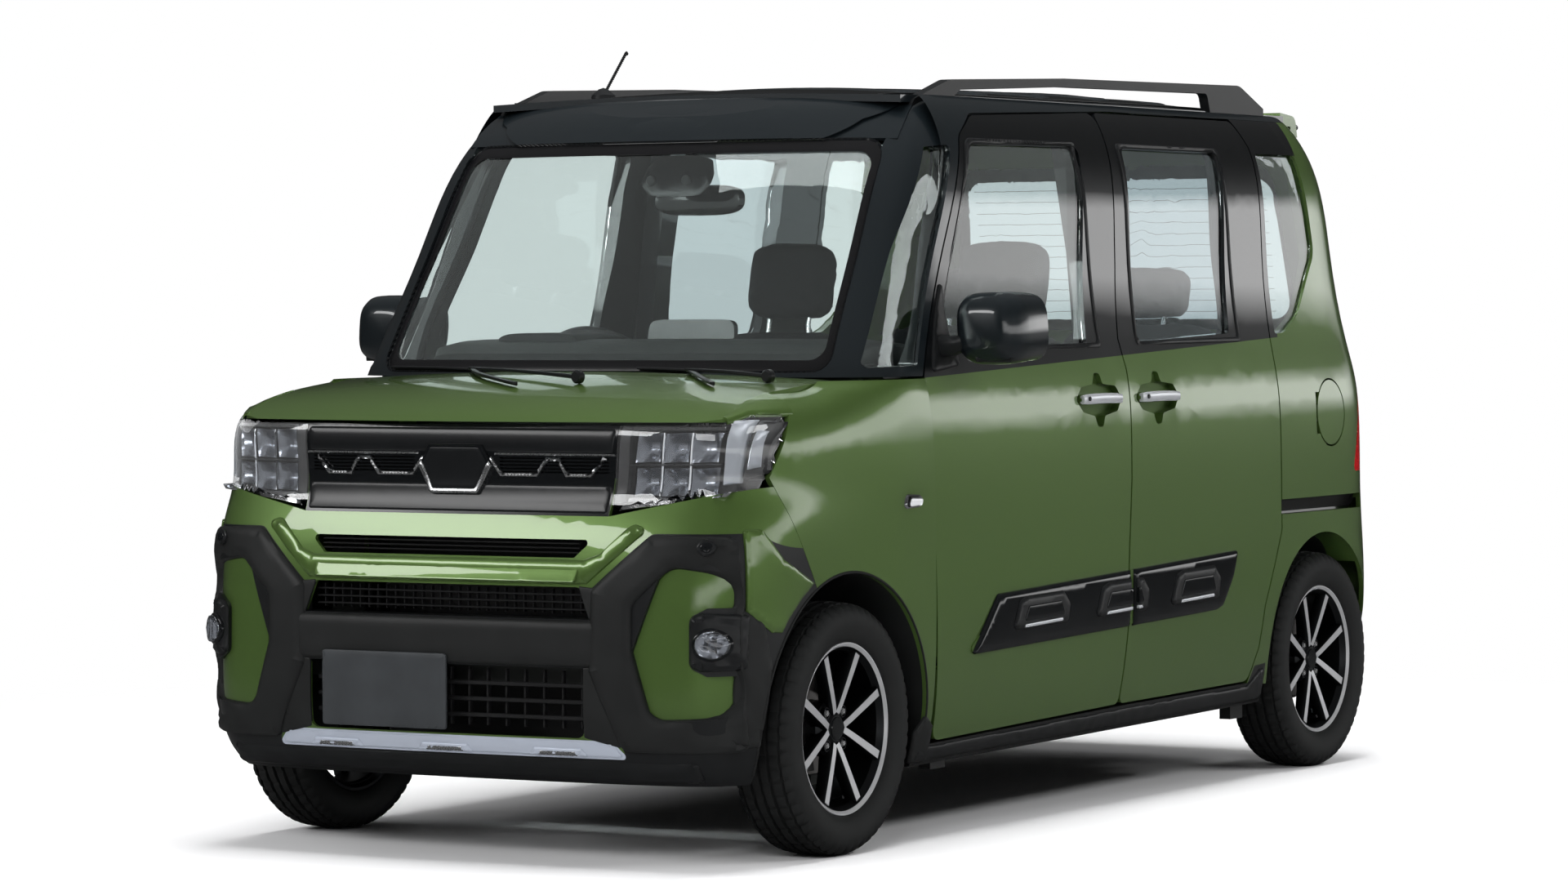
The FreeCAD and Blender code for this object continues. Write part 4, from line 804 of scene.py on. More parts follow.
SKIN = ("front_bumper", "bumper_trim", "grille", "headlamps", "wings")
LAMP = ("headlamps",)
FRAME = [(372, 425, 14), (452, 256, 18), (694, 256, 20), (695, 560, 20), (690, 716, 34), (510, 720, 30),
         (376, 600, 20)]
INSET = [(475, 470, 30), (520, 326, 40), (666, 332, 40), (668, 636, 50), (560, 650, 40), (475, 570, 30)]
BUMPER_SIDE = [(-1570, 556, 4), (-1566, 730, 8), (-1520, 730, 8), (-1452, 662, 4), (-1333, 606, 3),
               (-1388, 573, 2), (-1436, 533, 2), (-1462, 505, 4), (-1495, 507, 4), (-1532, 531, 4)]
UPPER_LIP = [(364, 612, 6), (502, 731, 20), (462, 744, 24), (388, 676, 12), (352, 664, 6)]
FOG, SENSOR = (645, 488), (632, 692)
FOG_POD = [(606, 440, 14), (630, 430, 12), (696, 432, 10), (698, 552, 10), (632, 556, 12), (606, 545, 14)]
NUMBER_PLATE = [(-312, 290.5, 8), (18, 290.5, 8), (18, 455.5, 8), (-312, 455.5, 8)]
ZIGZAG = [(88, 880), (117, 843), (207, 843), (233, 877), (263, 877), (284, 843), (343, 843), (378, 881)]
ZIGZAG_HALF = 4.2
EMBLEM = [(62, 799, 8), (96, 862, 8), (70, 909, 8)]
EMBLEM_FRAME = [(-62, 799, 8), (62, 799, 8), (96, 862, 4), (88, 872), (80, 862, 4), (55, 811, 6),
                (-55, 811, 6), (-80, 862, 4), (-88, 872), (-96, 862, 4)]
EMBLEM_FACE = [(57, 806, 8), (86, 862, 8), (64, 902, 8)]

# Half width, height and front of level slats, and their levels
SLATS = {
    "mouth_slat": (352, 9, -1668, (322, 357, 392)),
    "upper_slat": (352, 4, -1668, (556, 572, 588)),
    "slot_slat": (338, 3.5, -1664, (678, 688, 698)),
}
# Spacing, foot, top, width and front of upright ribs
RIBS = {"mouth_rib": (48, 300, 424, 5, -1662), "upper_rib": (24, 548, 600, 3, -1664)}
RIB_REACH = 336


def ribbon(line, half):
    """Outline of a band of even width along a line with corners."""
    ends = [Vector(spot) for spot in line]
    ways = [(after - before).normalized() for before, after in zip(ends, ends[1:])]
    sides = {1: [], -1: []}
    for here, first, second in zip(ends, ways[:1] + ways, ways + ways[-1:]):
        square = Vector((-first.y, first.x))
        normal = (square + Vector((-second.y, second.x))).normalized()
        stretch = 1 / max(normal.dot(square), 0.5)
        along, up = normal.x * half * stretch, normal.y * half * stretch
        for side, outline in sides.items():
            outline.append((here.x + side * along, here.y + side * up))
    return sides[-1] + sides[1][::-1]


def make_grille():
    grille = ("grille",)
    middle_pad("grille_upper", "front", grille, both_sides([(398, 892, 3), (404, 944, 8)]), 3.0,
               "satin_black", edge=6, spacing=14)
    middle_pad("grille_lower", "front", grille, both_sides([(392, 763, 6), (396, 822, 2)]), 3.0,
               "satin_black", spacing=14)
    pad("grille_line", "front", grille, [(100, 885, 1), (404, 885, 1), (404, 890, 1), (100, 890, 1)], 4.5,
        "satin_chrome", edge=1.5, spacing=10)
    pad("grille_zigzag", "front", grille, ribbon(ZIGZAG, ZIGZAG_HALF), 6.0, "satin_chrome", edge=3, spacing=9)
    middle_pad("emblem_plate", "front", grille, both_sides(EMBLEM), 9.0, "gloss_black", spacing=10)
    middle_pad("emblem_frame", "front", grille, EMBLEM_FRAME, 3.0, "satin_chrome", edge=2, spacing=8, lift=9)
    middle_pad("emblem_face", "front", grille, both_sides(EMBLEM_FACE), 2.0, "satin_black", edge=2,
               spacing=10, lift=8.5)


def fog_flutes(u, v):
    """Relief of the fog lamp's reflector: a bowl with upright waves."""
    across, up = u - FOG[0], v - FOG[1]
    return 3.2 * (1 - (across ** 2 + up ** 2) / 700) * math.cos(across * 0.5)


def bowed(x, front):
    """How far back the bumper's bow lies at x."""
    return front + 9 * (x / 400) ** 2


def make_bumper():
    bumper, garnish = ("front_bumper",), ("front_garnish",)
    pad("bumper_frame", "front", SKIN, FRAME, 12, "trim", holes=[INSET], edge=20, spacing=13, even=12)
    pad("bumper_side", "left", SKIN, BUMPER_SIDE, 5, "green_paint", edge=6, even=10)
    middle_pad("bumper_bar", "front", SKIN, both_sides([(398, 434, 10), (398, 535, 10)]), 10, "trim", edge=20,
               spacing=16, even=4)
    pad("fog_pod", "front", SKIN, FOG_POD, 12, "satin_trim", edge=12, spacing=10, even=6)
    pad("fog_ring", "front", SKIN, disc(FOG, 34, 36), 7, "gloss_black", edge=5, spacing=8, lift=10, even=6)
    pad("fog_bowl", "front", SKIN, disc(FOG, 26, 28), 2, "reflector", edge=2, spacing=6, lift=16, even=6,
        relief=fog_flutes)
    pad("fog_lens", "front", SKIN, disc(FOG, 28, 30), 5, "lens", edge=6, spacing=6, lift=19, sink=-21, even=6)
    pad("sensor", "front", SKIN, disc(SENSOR, 11, 11, 24), 3, "gloss_black", edge=2, spacing=5, lift=13,
        sink=-6, even=4)
    pad("sensor_rim", "front", SKIN, disc(SENSOR, 17, 17, 24), 2, "satin_trim", edge=3, spacing=6, lift=12.5,
        even=4)
    middle_pad("upper_lip", "front", bumper, both_sides(UPPER_LIP), 8, "green_paint", edge=18, even=3)
    middle_pad("light_bar", "front", bumper, both_sides([(340, 616, 4), (350, 664, 4)]), 1.5, "green_paint",
               edge=3, spacing=11, even=8, relief=lambda u, v: 0.3 * (664 - v))
    pad("mouth_cheek", "front", SKIN, [(358, 284, 4), (358, 434, 4), (376, 436, 4), (452, 262, 6),
                                       (364, 282, 4)],
        2.0, "trim", edge=3, even=2)
    pad("mesh_cheek", "front", SKIN, [(344, 608, 3), (372, 538, 3), (384, 538, 3), (392, 604, 3)], 2.0,
        "trim", edge=3, spacing=10, even=2)
    middle_pad("number_plate", "front", ("bumper_trim", "front_garnish"), NUMBER_PLATE, 3, "plate_dark",
               edge=2, spacing=20, even=60, lift=14, sink=-11)
    for name, (half, height, front, levels) in SLATS.items():
        for row, z in enumerate(levels):
            path = [(x, bowed(x, front), z) for x in range(-half, half + 1, max(half // 8, 20))]
            sweep(f"{name}_{row}", curve_through(path, 2), bar_section(14, height, 1.4), "dark_inside")
    for name, (gap, low, high, width, front) in RIBS.items():
        for index, x in enumerate(range(-RIB_REACH, RIB_REACH + 1, gap)):
            path = [Vector((x, bowed(x, front), z)) / MM for z in (low, (low + high) / 2, high)]
            sweep(f"{name}_{index}", path, bar_section(12, width, 1.2), "dark_inside", up=ACROSS)
    middle_pad("garnish_face", "front", garnish, both_sides([(448, 243, 4), (424, 274, 4)]), 3, "silver",
               edge=5, spacing=14, even=4)
    for number, middle in enumerate((-290, 0, 290)):
        boss = [(middle - 75, 244, 3), (middle - 60, 261, 5), (middle + 60, 261, 5), (middle + 75, 244, 3)]
        pocket = [(middle - 52, 246, 2), (middle - 44, 255, 3), (middle + 44, 255, 3), (middle + 52, 246, 2)]
        middle_pad(f"garnish_boss_{number}", "front", garnish, boss, 5, "silver", edge=5, spacing=9, lift=2.5,
                   even=4)
        middle_pad(f"garnish_pocket_{number}", "front", garnish, pocket, 1.5, "satin_chrome", edge=2,
                   spacing=8, lift=6.5, even=4)
    middle_pad("chin", "front", ("bumper_trim",), both_sides([(610, 190, 10), (610, 236, 12)]), 7,
               "satin_trim", edge=16, spacing=16, even=6)


# Lamps

BEHIND = 0.002
RIDGE_BEVEL, RIDGE_CORNER, RIDGE_SPACING = 2.0, 1.5, 9
BOWL_STEPS, BOWL_FLUTES, BOWL_FRONT, BOWL_DEEP = 12, 3.0, 16, 42
BOWL_ROWS = ((800, 862, 4), (872, 936, 8))
BOWL_COLUMNS = ((444, 502), (508, 566), (572, 628))
LAMP_FRONT = -1600

# Corners in (x, z), depth behind the lens, height and finish
RIDGES = {
    "lamp_bar_middle": ([(412, 864), (636, 866), (636, 871), (412, 869)], 12, 12, "gloss_black"),
    "lamp_bar_low": ([(430, 786), (632, 790), (634, 799), (436, 798)], 12, 14, "gloss_black"),
    "lamp_bar_top": ([(414, 938), (640, 940), (640, 950), (414, 950)], 12, 14, "gloss_black"),
    "lamp_bezel_inner": ([(404, 780), (432, 786), (442, 948), (414, 950)], 10, 18, "lamp_black"),
    "lamp_strip": ([(416, 768), (660, 800), (668, 812), (424, 782)], 8, 10, "chrome"),
    "lamp_post_a": ([(503, 800), (507, 800), (515, 936), (511, 936)], 14, 10, "chrome"),
    "lamp_post_b": ([(567, 802), (571, 802), (579, 936), (575, 936)], 14, 10, "chrome"),
    "day_lamp": ([(640, 824), (664, 828), (674, 962), (648, 962)], 9, 16, "lamp_grey"),
    "turn_lamp_frame": ([(668, 836), (696, 848), (699, 956), (678, 960)], 12, 12, "lamp_black"),
    "turn_lamp": ([(674, 856), (690, 862), (692, 938), (681, 942)], 8, 8, "lamp_grey"),
}


def outer_faces(node, outward_at, facing, low, high):
    """Left-hand faces of a CAD node's shell that look outwards, with smooth normals."""
    mesh = NODES[node].data
    points, faces, used = [], [], {}
    for polygon in mesh.polygons:
        centre = polygon.center.copy()
        if centre.x < 0 or polygon.normal.dot(Vector(outward_at(centre)).normalized()) < facing:
            continue
        spot, _, _, distance = tree_of((node,)).ray_cast(centre - polygon.normal * BEHIND, -polygon.normal)
        if spot is None or not low < distance < high:
            continue
        face = []
        for index in polygon.vertices:
            spot = mesh.vertices[index].co
            key = (round(spot.x, 5), round(spot.y, 5), round(spot.z, 5))
            if key not in used:
                used[key] = len(points)
                points.append(spot.copy())
            face.append(used[key])
        faces.append(face)
    normals = [Vector() for _ in points]
    for face in faces:
        a, b, c = [points[index] for index in face[:3]]
        normal = (b - a).cross(c - a)
        for index in face:
            normals[index] += normal
    return points, faces, [normal.normalized() for normal in normals]


def layers(points, normals, *depths):
    """Points of a patch at some depths below it, in millimetres."""
    return [point - normal * depth / MM for depth in depths for point, normal in zip(points, normals)]


def shell_faces(faces, count):
    """Faces of a closed skin whose back has the same points as its front, count places on."""
    back = [[index + count for index in reversed(face)] for face in faces]
    return faces + back + [[stop, start, start + count, stop + count] for start, stop in rim_of(faces)]


def lamp_shell(name, faces_of, thickness, rim, floor, lens_finish, tray_finish):
    """Clear cover over a housing that is open towards it; returns the cover's pieces."""
    points, faces, normals = faces_of
    count = len(points)
    cover = mesh_of(f"{name}_lens", layers(points, normals, 0.0, thickness), shell_faces(faces, count))
    lens = place(f"{name}_lens", cover, "body", lens_finish)
    walls = [[start, stop, stop + count, start + count] for start, stop in rim_of(faces)]
    sunk = [[index + count for index in face] for face in faces]
    tray = mesh_of(f"{name}_tray", layers(points, normals, rim, floor), sunk + walls, closed=False)
    place(f"{name}_tray", tray, "body", tray_finish)
    return lens


def lamp_point(x, z, depth):
    spot, _ = touched(LAMP, "front", x, z)
    if spot is None:
        spot = Vector((x, LAMP_FRONT, z)) / MM
    return spot + Vector((0, depth / MM, 0))


def bowl_mesh(name, corners):
    """Reflector: a concave bowl behind a four-cornered opening, with upright flutes."""
    low_in, low_out, high_out, high_in = [Vector(corner) for corner in corners]
    points = []
    for row in range(BOWL_STEPS + 1):
        for column in range(BOWL_STEPS + 1):
            s, t = column / BOWL_STEPS, row / BOWL_STEPS
            spot = low_in.lerp(low_out, s).lerp(high_in.lerp(high_out, s), t)
            hollow = (1 - (2 * s - 1) ** 2) * (1 - (2 * t - 1) ** 2)
            ripple = 1.6 * math.cos(s * math.pi * 2 * BOWL_FLUTES) * min(1.0, 3 * hollow)
            points.append(lamp_point(spot.x, spot.y, BOWL_FRONT + (BOWL_DEEP - BOWL_FRONT) * hollow + ripple))
    across = BOWL_STEPS + 1
    starts = [row * across + column for row in range(BOWL_STEPS) for column in range(BOWL_STEPS)]
    faces = [(start, start + 1, start + across + 1, start + across) for start in starts]
    return mesh_of(name, points, faces, 20, False)


def ridge(name, corners, depth, height, finish):
    """Solid bar behind the lens between four corners."""
    edge = RIDGE_BEVEL / MM
    outline = [(*corner, RIDGE_CORNER) for corner in corners]
    flat, triangles, border = patch(outline, (), RIDGE_SPACING / MM, edge)
    flat, share = flat * MM, np.clip(border / edge, 0, 1)
    points = [lamp_point(u, v, depth - height * float(rise) * 0.4) for (u, v), rise in zip(flat, share)]
    points += [lamp_point(u, v, depth + height) for u, v in flat]
    place(name, mesh_of(name, points, shell_faces(triangles, len(flat))), "body", finish)


def make_headlamps():
    found = outer_faces("headlamps", lambda centre: (centre.x, centre.y + 1.0, 0), 0.35, 0.045, 0.09)
    lens = lamp_shell("headlamp", found, 2.2, 2.4, 52, "lens", "lamp_black")
    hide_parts("headlamps")
    for row, (low, high, lean) in enumerate(BOWL_ROWS):
        for column, (start, stop) in enumerate(BOWL_COLUMNS):
            corners = [(start, low), (stop, low + 2), (stop + lean, high), (start + lean, high - 2)]
            name = f"reflector_{row}_{column}"
            place(name, bowl_mesh(name, corners), "body", "reflector")
    for name, form in RIDGES.items():
        ridge(name, *form)


# Front corners, roof edge and windscreen

# Place along the car, upper level and outer edge
FENDER_ROWS = ((-1552, 969, 638), (-1540, 972, 646), (-1500, 988, 661), (-1460, 1001, 675),
               (-1430, 1008, 682), (-1400, 1014, 688), (-1374, 1018, 693))
FENDER_INNER, FENDER_LOW = 629, 981
# Half width, middle's place, bend back towards the posts and level
BROW = ((585, -803, 91, 1586), (583, -792, 93, 1600), (581, -778, 96, 1615), (578, -762, 99, 1630),
        (574, -743, 100, 1645), (569, -721, 100, 1658), (564, -702, 99, 1668), (560, -684, 98, 1676))
FRIT = both_sides([(597, 1060, 30), (561, 1581, 50)])
CLEAR = both_sides([(580, 1084, 30), (546, 1556, 40)])
SEAL = both_sides([(606, 1056, 40), (567, 1588, 60)])
CAMERA_ROWS = ((0, -700, 1540, 60, 18), (0, -706, 1528, 88, 26), (0, -716, 1500, 96, 30), (0, -722, 1478, 78,
                                                                                           22))
CABIN_MIRROR_ROWS = ((0, -640, 1452, 92, 20), (0, -632, 1452, 116, 32), (0, -616, 1452, 122, 36),
                     (0, -608, 1452, 118, 34))


def make_fender_tip():
    """Corner between bonnet and lamp: the wing's rounded shoulder carried on to the nose."""
    rings = []
    for y, high, outer in FENDER_ROWS:
        low = min(FENDER_LOW, high - 3)
        top = []
        for step in range(9):
            share = step / 8
            drop = 0.45 * share + 0.55 * share ** 2.5
            x = FENDER_INNER + (outer - FENDER_INNER) * share
            top.append(Vector((x, y, high + 0.8 - (high - low) * drop)))
        top.append(Vector((outer + 3, y, low - 9)))
        rings.append(top + [point - Vector((1.5, 0, 5)) for point in reversed(top)])
    loft("fender_tip", rings, "green_paint", both=True, angle=50)


def make_brow():
    """Front face of the roof, from post to post."""
    rings = []
    for step in range(-16, 17):
        share = step / 16
        outer = [Vector((share * half, middle + bend * share * share, z)) for half, middle, bend, z in BROW]
        rings.append(outer + [point + Vector((0, 6, -5)) for point in reversed(outer)])
    loft("roof_brow", rings, "black_paint", angle=50)


def make_windscreen():
    middle_pad("screen_frit", "front", ("windscreen",), FRIT, 0.5, "frit", edge=0.5, holes=[CLEAR],
               spacing=16, sink=0.2, lift=0.3)
    middle_pad("screen_seal", "front", ("windscreen", "side_frames", "cowl", "roof"), SEAL, 2.5,
               "gloss_black", edge=2, holes=[FRIT], spacing=14, sink=4)
    block("camera_housing", CAMERA_ROWS, "lamp_black", axes=(ACROSS, (0, 0.55, 0.84)))
    for number, x in enumerate((-48, 48)):
        lathe(f"camera_eye_{number}", [(0, 0), (0, 12), (6, 13), (9, 11), (9, 0)], 24, (x, -752, 1496),
              "gloss_black", turn=turned(-90, "Z"))
    block("cabin_mirror", CABIN_MIRROR_ROWS, "gloss_black", axes=(ACROSS, (0, 0.1, 1)), power=3.2)
    tube("cabin_mirror_stem", [(0, -632, 1470), (0, -648, 1520), (0, -668, 1560)], 8, "lamp_black")


def wiper(number, pivot, tip, bend):
    """Arm from its pivot on the cowl to the blade that lies along the screen."""
    def over_glass(x, z, rise):
        spot, normal = touched(("windscreen", "cowl", "bonnet"), "front", x, z)
        outward = normal if normal.y < 0 else -normal
        return spot + outward.normalized() * rise / MM

    blade = []
    for step in range(13):
        share = step / 12
        x = pivot[0] + (tip[0] - pivot[0]) * (0.18 + 0.82 * share)
        z = pivot[1] + (tip[1] - pivot[1]) * share + bend * math.sin(math.pi * share)
        blade.append(over_glass(x, z, 7))
    sweep(f"wiper_blade_{number}", blade, bar_section(5, 9, 1.2), "rubber")
    spine = [spot + Vector((0, -9, 2)) / MM for spot in blade]
    sweep(f"wiper_spine_{number}", spine, bar_section(10, 5, 1.2), "satin_trim")
    middle = spine[len(spine) // 2]
    start = over_glass(pivot[0], pivot[1] + 6, 16)
    arm = [start, start.lerp(middle, 0.45) + Vector((0, -16, 4)) / MM, middle + Vector((0, -9, 2)) / MM]
    sweep(f"wiper_arm_{number}", curve_through([spot * MM for spot in arm]), bar_section(13, 8, 2),
          "satin_trim", sizes=[1.2 - 0.5 * step / 16 for step in range(17)])
    lathe(f"wiper_hub_{number}", [(-8, 0), (-8, 15), (4, 15), (9, 11), (9, 0)], 32, start * MM, "satin_trim",
          turn=turned(-100, "Z"))


# Sides

DOOR, SLIDE = ("door_left",), ("sliding_doors",)
DOOR_BODY = "door_{hand}"
CLADDING = [(-640, 414, 8), (-604, 452, 10), (-520, 541, 16), (741, 586, 8), (712, 520, 14), (655, 450, 14),
            (620, 441, 14), (-628, 408, 8)]
CLADDING_SPLIT = (128, 158)
HEXAGON_HALF = 138
HANDLES = {"front": (0, 978, DOOR_BODY), "rear": (310, 978, "body")}
HANDLE_SIZES = [0.86, 0.97, *[1.0] * 7, 0.97, 0.86]

# Nodes, body, outline and hole
WINDOW_TRIMS = {
    "door": (("door_left", "door_glass_left"), DOOR_BODY,
             [(-743, 1100, 16), (-506, 1590, 40), (38, 1592, 16), (50, 1100, 12)],
             [(-722, 1112, 16), (-494, 1579, 40), (26, 1580, 16), (38, 1112, 12)]),
    "slide": (("sliding_doors", "sliding_door_glass"), "body",
              [(238, 1104, 12), (250, 1594, 16), (822, 1594, 16), (826, 1106, 12)],
              [(250, 1116, 12), (262, 1582, 16), (810, 1582, 16), (814, 1118, 12)]),
}

# Place, size and drop of the mirror housing's sections
MIRROR_ROWS = ((-752, 0.50, -4), (-747, 0.70, -3), (-734, 0.88, -1), (-712, 0.985, 0), (-680, 1.0, 0),
               (-640, 0.985, 1), (-606, 0.965, 2), (-585, 0.95, 2))
MIRROR_AXES = ((1, 0, 0.02), (-0.06, 0, 1))
MIRROR_GLASS_ROWS = ((824, -588, 1150, 77, 74), (824, -583, 1150, 77, 74), (824, -580.2, 1150, 73, 70))
MIRROR_ARM_ROWS = ((700, -716, 1112, 36, 26), (722, -716, 1112, 34, 24), (748, -716, 1116, 30, 21),
                   (768, -716, 1122, 28, 20))
MIRROR_FOOT = [(-790, 1052, 10), (-770, 1106, 10), (-742, 1172, 8), (-700, 1256, 10), (-690, 1246, 10),
               (-664, 1104, 12), (-660, 1066, 12)]
MIRROR_LOWER = [(-744, 1076, 6), (-742, 1098, 4), (-586, 1098, 4), (-588, 1078, 6)]

# Nodes, outline, rise, finish and options
SIDE_PADS = {
    "side_repeater": (("wings",), [(-959, 760, 12), (-950, 785, 12), (-890, 783, 12), (-880, 770, 10),
                                   (-890, 754, 12), (-950, 751, 12)], 6, "chrome", {"edge": 5, "spacing": 7}),
    "side_repeater_lens": (("wings",), [(-954, 761, 10), (-946, 781, 10), (-893, 779, 10), (-884, 769, 8),
                                        (-893, 757, 10), (-946, 755, 10)], 5, "lens",
                           {"edge": 6, "spacing": 7, "lift": 6.2, "sink": -5.8}),
    "rail_groove": (("quarters", "slide_rails"), [(1026, 667, 3), (1026, 699, 3), (1546, 699, 3),
                                                  (1546, 667, 3)],
                    1.0, "dark_inside", {"edge": 1, "spacing": 14, "even": 2}),
    "sill_step": (("sills",), [(-858, 178, 6), (-858, 214, 6), (-780, 212, 6), (150, 230, 4), (836, 238, 4),
                               (900, 276, 10), (928, 280, 8), (928, 196, 6)], 6, "satin_trim",
                  {"edge": 12, "spacing": 16, "even": 4}),
    "mud_guard": (("wings", "sills"), [(-872, 176, 6), (-880, 250, 10), (-846, 286, 14), (-800, 258, 10),
                                       (-800, 176, 6)], 5, "trim", {"edge": 6, "even": 4}),
}
WEDGE = [(-1590, 262, 10), (-1590, 566, 10), (-1520, 540, 30), (-1492, 430, 30), (-1512, 300, 30),
         (-1516, 262, 6)]
ARCH_CENTRE, ARCH_RADIUS = (-1181.5, 283), 339
ARCH_INNER = 0.66


def clipped(corners, limit, keep_low):
    """Part of an outline on one side of a line of constant u."""
    result = []
    for index, corner in enumerate(corners):
        following = corners[(index + 1) % len(corners)]
        ends = (corner, following)
        here_in, next_in = [spot[0] <= limit if keep_low else spot[0] >= limit for spot in ends]
        if here_in:
            result.append(corner)
        if here_in != next_in:
            share = (limit - corner[0]) / (following[0] - corner[0])
            result.append((limit, corner[1] + share * (following[1] - corner[1]), 2))
    return result


def make_cladding():
    front = clipped(CLADDING, CLADDING_SPLIT[0] + 8, True)
    rear = clipped(CLADDING, CLADDING_SPLIT[1], False)
    pad("cladding_front", "left", DOOR, front, 9, "gloss_black", DOOR_BODY, edge=10, spacing=14, even=8)
    pad("cladding_rear", "left", SLIDE, rear, 9, "gloss_black", edge=10, spacing=14, even=8)
    for number, middle in enumerate((-325, 85, 482)):
        low, high = 446 + 0.018 * (middle + 325), 530 + 0.026 * (middle + 325)
        left, right = middle - HEXAGON_HALF, middle + HEXAGON_HALF
        outline = [(left, low + 8, 12), (left + 30, high - 10, 14), (left + 62, high, 10),
                   (right - 34, high + 4, 10), (right, high - 26, 14), (right - 10, low + 12, 12)]
        inner = [(left + 40, low + 26, 6), (left + 64, high - 22, 8), (right - 52, high - 18, 8),
                 (right - 34, low + 32, 6)]
        strip = [(left + 46, low + 12, 2), (left + 50, low + 20, 2), (right - 46, low + 26, 2),
                 (right - 42, low + 18, 2)]
        for part, ring, rise, finish, edge, lift in (("hexagon", outline, 7, "satin_trim", 10, 8.5),
                                                     ("recess", inner, 2.0, "gloss_black", 3, 15.0),
                                                     ("strip", strip, 1.5, "satin_silver", 1.5, 15.0)):
            options = {"edge": edge, "spacing": 10, "lift": lift, "even": 8}
            if number != 2:
                front_ring = clipped(ring, CLADDING_SPLIT[0], True) if number else ring
                pad(f"cladding_{part}_{number}", "left", DOOR, front_ring, rise, finish, DOOR_BODY, **options)
            if number:
                rear_ring = clipped(ring, CLADDING_SPLIT[1] + 4, False) if number == 1 else ring
                pad(f"cladding_{part}_{number}_rear", "left", SLIDE, rear_ring, rise, finish, **options)


def make_handles():
    section = [(point.x, point.y) for point in super_ring((0, 0, 0), 7, 12.5, ACROSS, ALONG, 3, 20)]
    for name, (y, z, body) in HANDLES.items():
        path = []
        for step in range(11):
            swell = math.sin(math.pi * step / 10)
            path.append(Vector((0.7385 + 0.0045 * swell, (y - 100 + 20 * step) / MM, (z + 2 * swell) / MM)))
        sweep(f"handle_{name}", path, section, "satin_silver", body, True, sizes=HANDLE_SIZES)
        lathe(f"handle_button_{name}", [(-4, 0), (-4, 5.5), (1, 5.5), (2, 4.5), (2, 0)], 24,
              (748, y - 78, z + 2), "satin_trim", body, True)


def make_window_trims():
    for name, (nodes, body, outline, hole) in WINDOW_TRIMS.items():
        pad(f"window_frame_{name}", "left", nodes, outline, 3.0, "satin_trim", body, edge=3, holes=[hole],
            spacing=14, sink=10, even=3)


def make_mirrors():
    """Rounded housing with its glass, a lower shell and a foot at the front corner of the door glass."""
    rows = [(824, y, 1152 + drop, 84 * size, 82 * size) for y, size, drop in MIRROR_ROWS]
    case = block("mirror_case", rows, "black_paint", DOOR_BODY, True, axes=MIRROR_AXES, power=3.4, count=40)
    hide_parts("mirror_left")
    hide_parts("mirror_right")
    block("mirror_glass", MIRROR_GLASS_ROWS, "mirror_glass", DOOR_BODY, True, axes=MIRROR_AXES, power=3.6,
          count=40)
    block("mirror_arm", MIRROR_ARM_ROWS, "satin_trim", DOOR_BODY, True, axes=(ALONG, UP), power=3, count=24)
    pad("mirror_foot", "left", ("door_left", "door_glass_left"), MIRROR_FOOT, 6, "satin_trim", DOOR_BODY,
        edge=6, even=3)
    pad("mirror_lower", "left", ("mirror_left",), MIRROR_LOWER, 1.5, "satin_trim", DOOR_BODY, edge=3,
        lift=0.5)


def make_side_details():
    for name, (nodes, outline, rise, finish, options) in SIDE_PADS.items():
        pad(name, "left", nodes, outline, rise, finish, **options)
    edge = []
    for step in range(57):
        turn = math.radians(-18 + 216 * step / 56)
        y = ARCH_CENTRE[0] + ARCH_RADIUS * math.cos(turn)
        z = ARCH_CENTRE[1] + ARCH_RADIUS * math.sin(turn)
        spot, _ = touched(("wings", "front_bumper", "bumper_trim"), "left", y, z)
        if spot is not None and spot.x > ARCH_INNER:
            edge.append(spot)
    sweep("arch_edge_front", edge, circle(3.2, 8), "trim", both=True, up=ACROSS)
    pad("bumper_wedge", "left", ("front_bumper", "bumper_trim", "wings"), WEDGE, 4, "trim", edge=10, even=6)


# Wheels

WHEELS = {"front_left": (650, -1181.5), "front_right": (-650, -1181.5), "rear_left": (650, 1278.5),
          "rear_right": (-650, 1278.5)}
WHEEL_Z = 278.5
TYRE_HALF = [(60, 190.5), (66, 194), (70, 200), (74, 212), (77, 228), (77.4, 240), (76, 252), (72.5, 262),
             (68, 268.5), (62, 272.5), (57, 274.6), (55.5, 268.5), (51.5, 268.5), (50, 275.8), (40, 276.9),
             (30, 277.5), (28.5, 270), (22, 270), (20.5, 278), (10, 278.4), (4.2, 278.5), (3, 271), (0, 271)]
TYRE_BACK = [(-52, 186), (52, 186)]
BARREL = [(59, 191), (61.5, 189), (61.5, 186), (58, 182.5), (50, 178), (42, 172), (20, 169), (-40, 171),
          (-52, 178), (-60, 184), (-60, 191), (-54, 187), (-50, 175), (0, 174), (46, 183), (52, 188)]
LIP = [(59.4, 190.6), (62.2, 189.3), (62.2, 186.2), (59.0, 183.0), (56.6, 180.6), (56, 183), (57.5, 187)]
HUB = [(40, 0), (40, 29), (36, 33), (33, 40), (30, 60), (24, 66), (4, 64), (-6, 62), (-6, 0)]
CAP = [(38, 0), (38, 26), (41.5, 26), (43, 23.5), (43.6, 0)]
WELL = [(22, 13.5), (36, 13.5), (36, 11.5), (24, 11.5), (24, 0), (22, 0)]
NUT = [(22, 0), (22, 10), (26, 9.2), (35, 9.2), (38, 6), (38, 0)]
DISC = [(-34, 30), (-34, 118), (-26, 118), (-26, 62), (-8, 58), (-8, 30)]
DRUM = [(-40, 30), (-40, 104), (-30, 106), (-12, 104), (-8, 98), (-8, 30)]

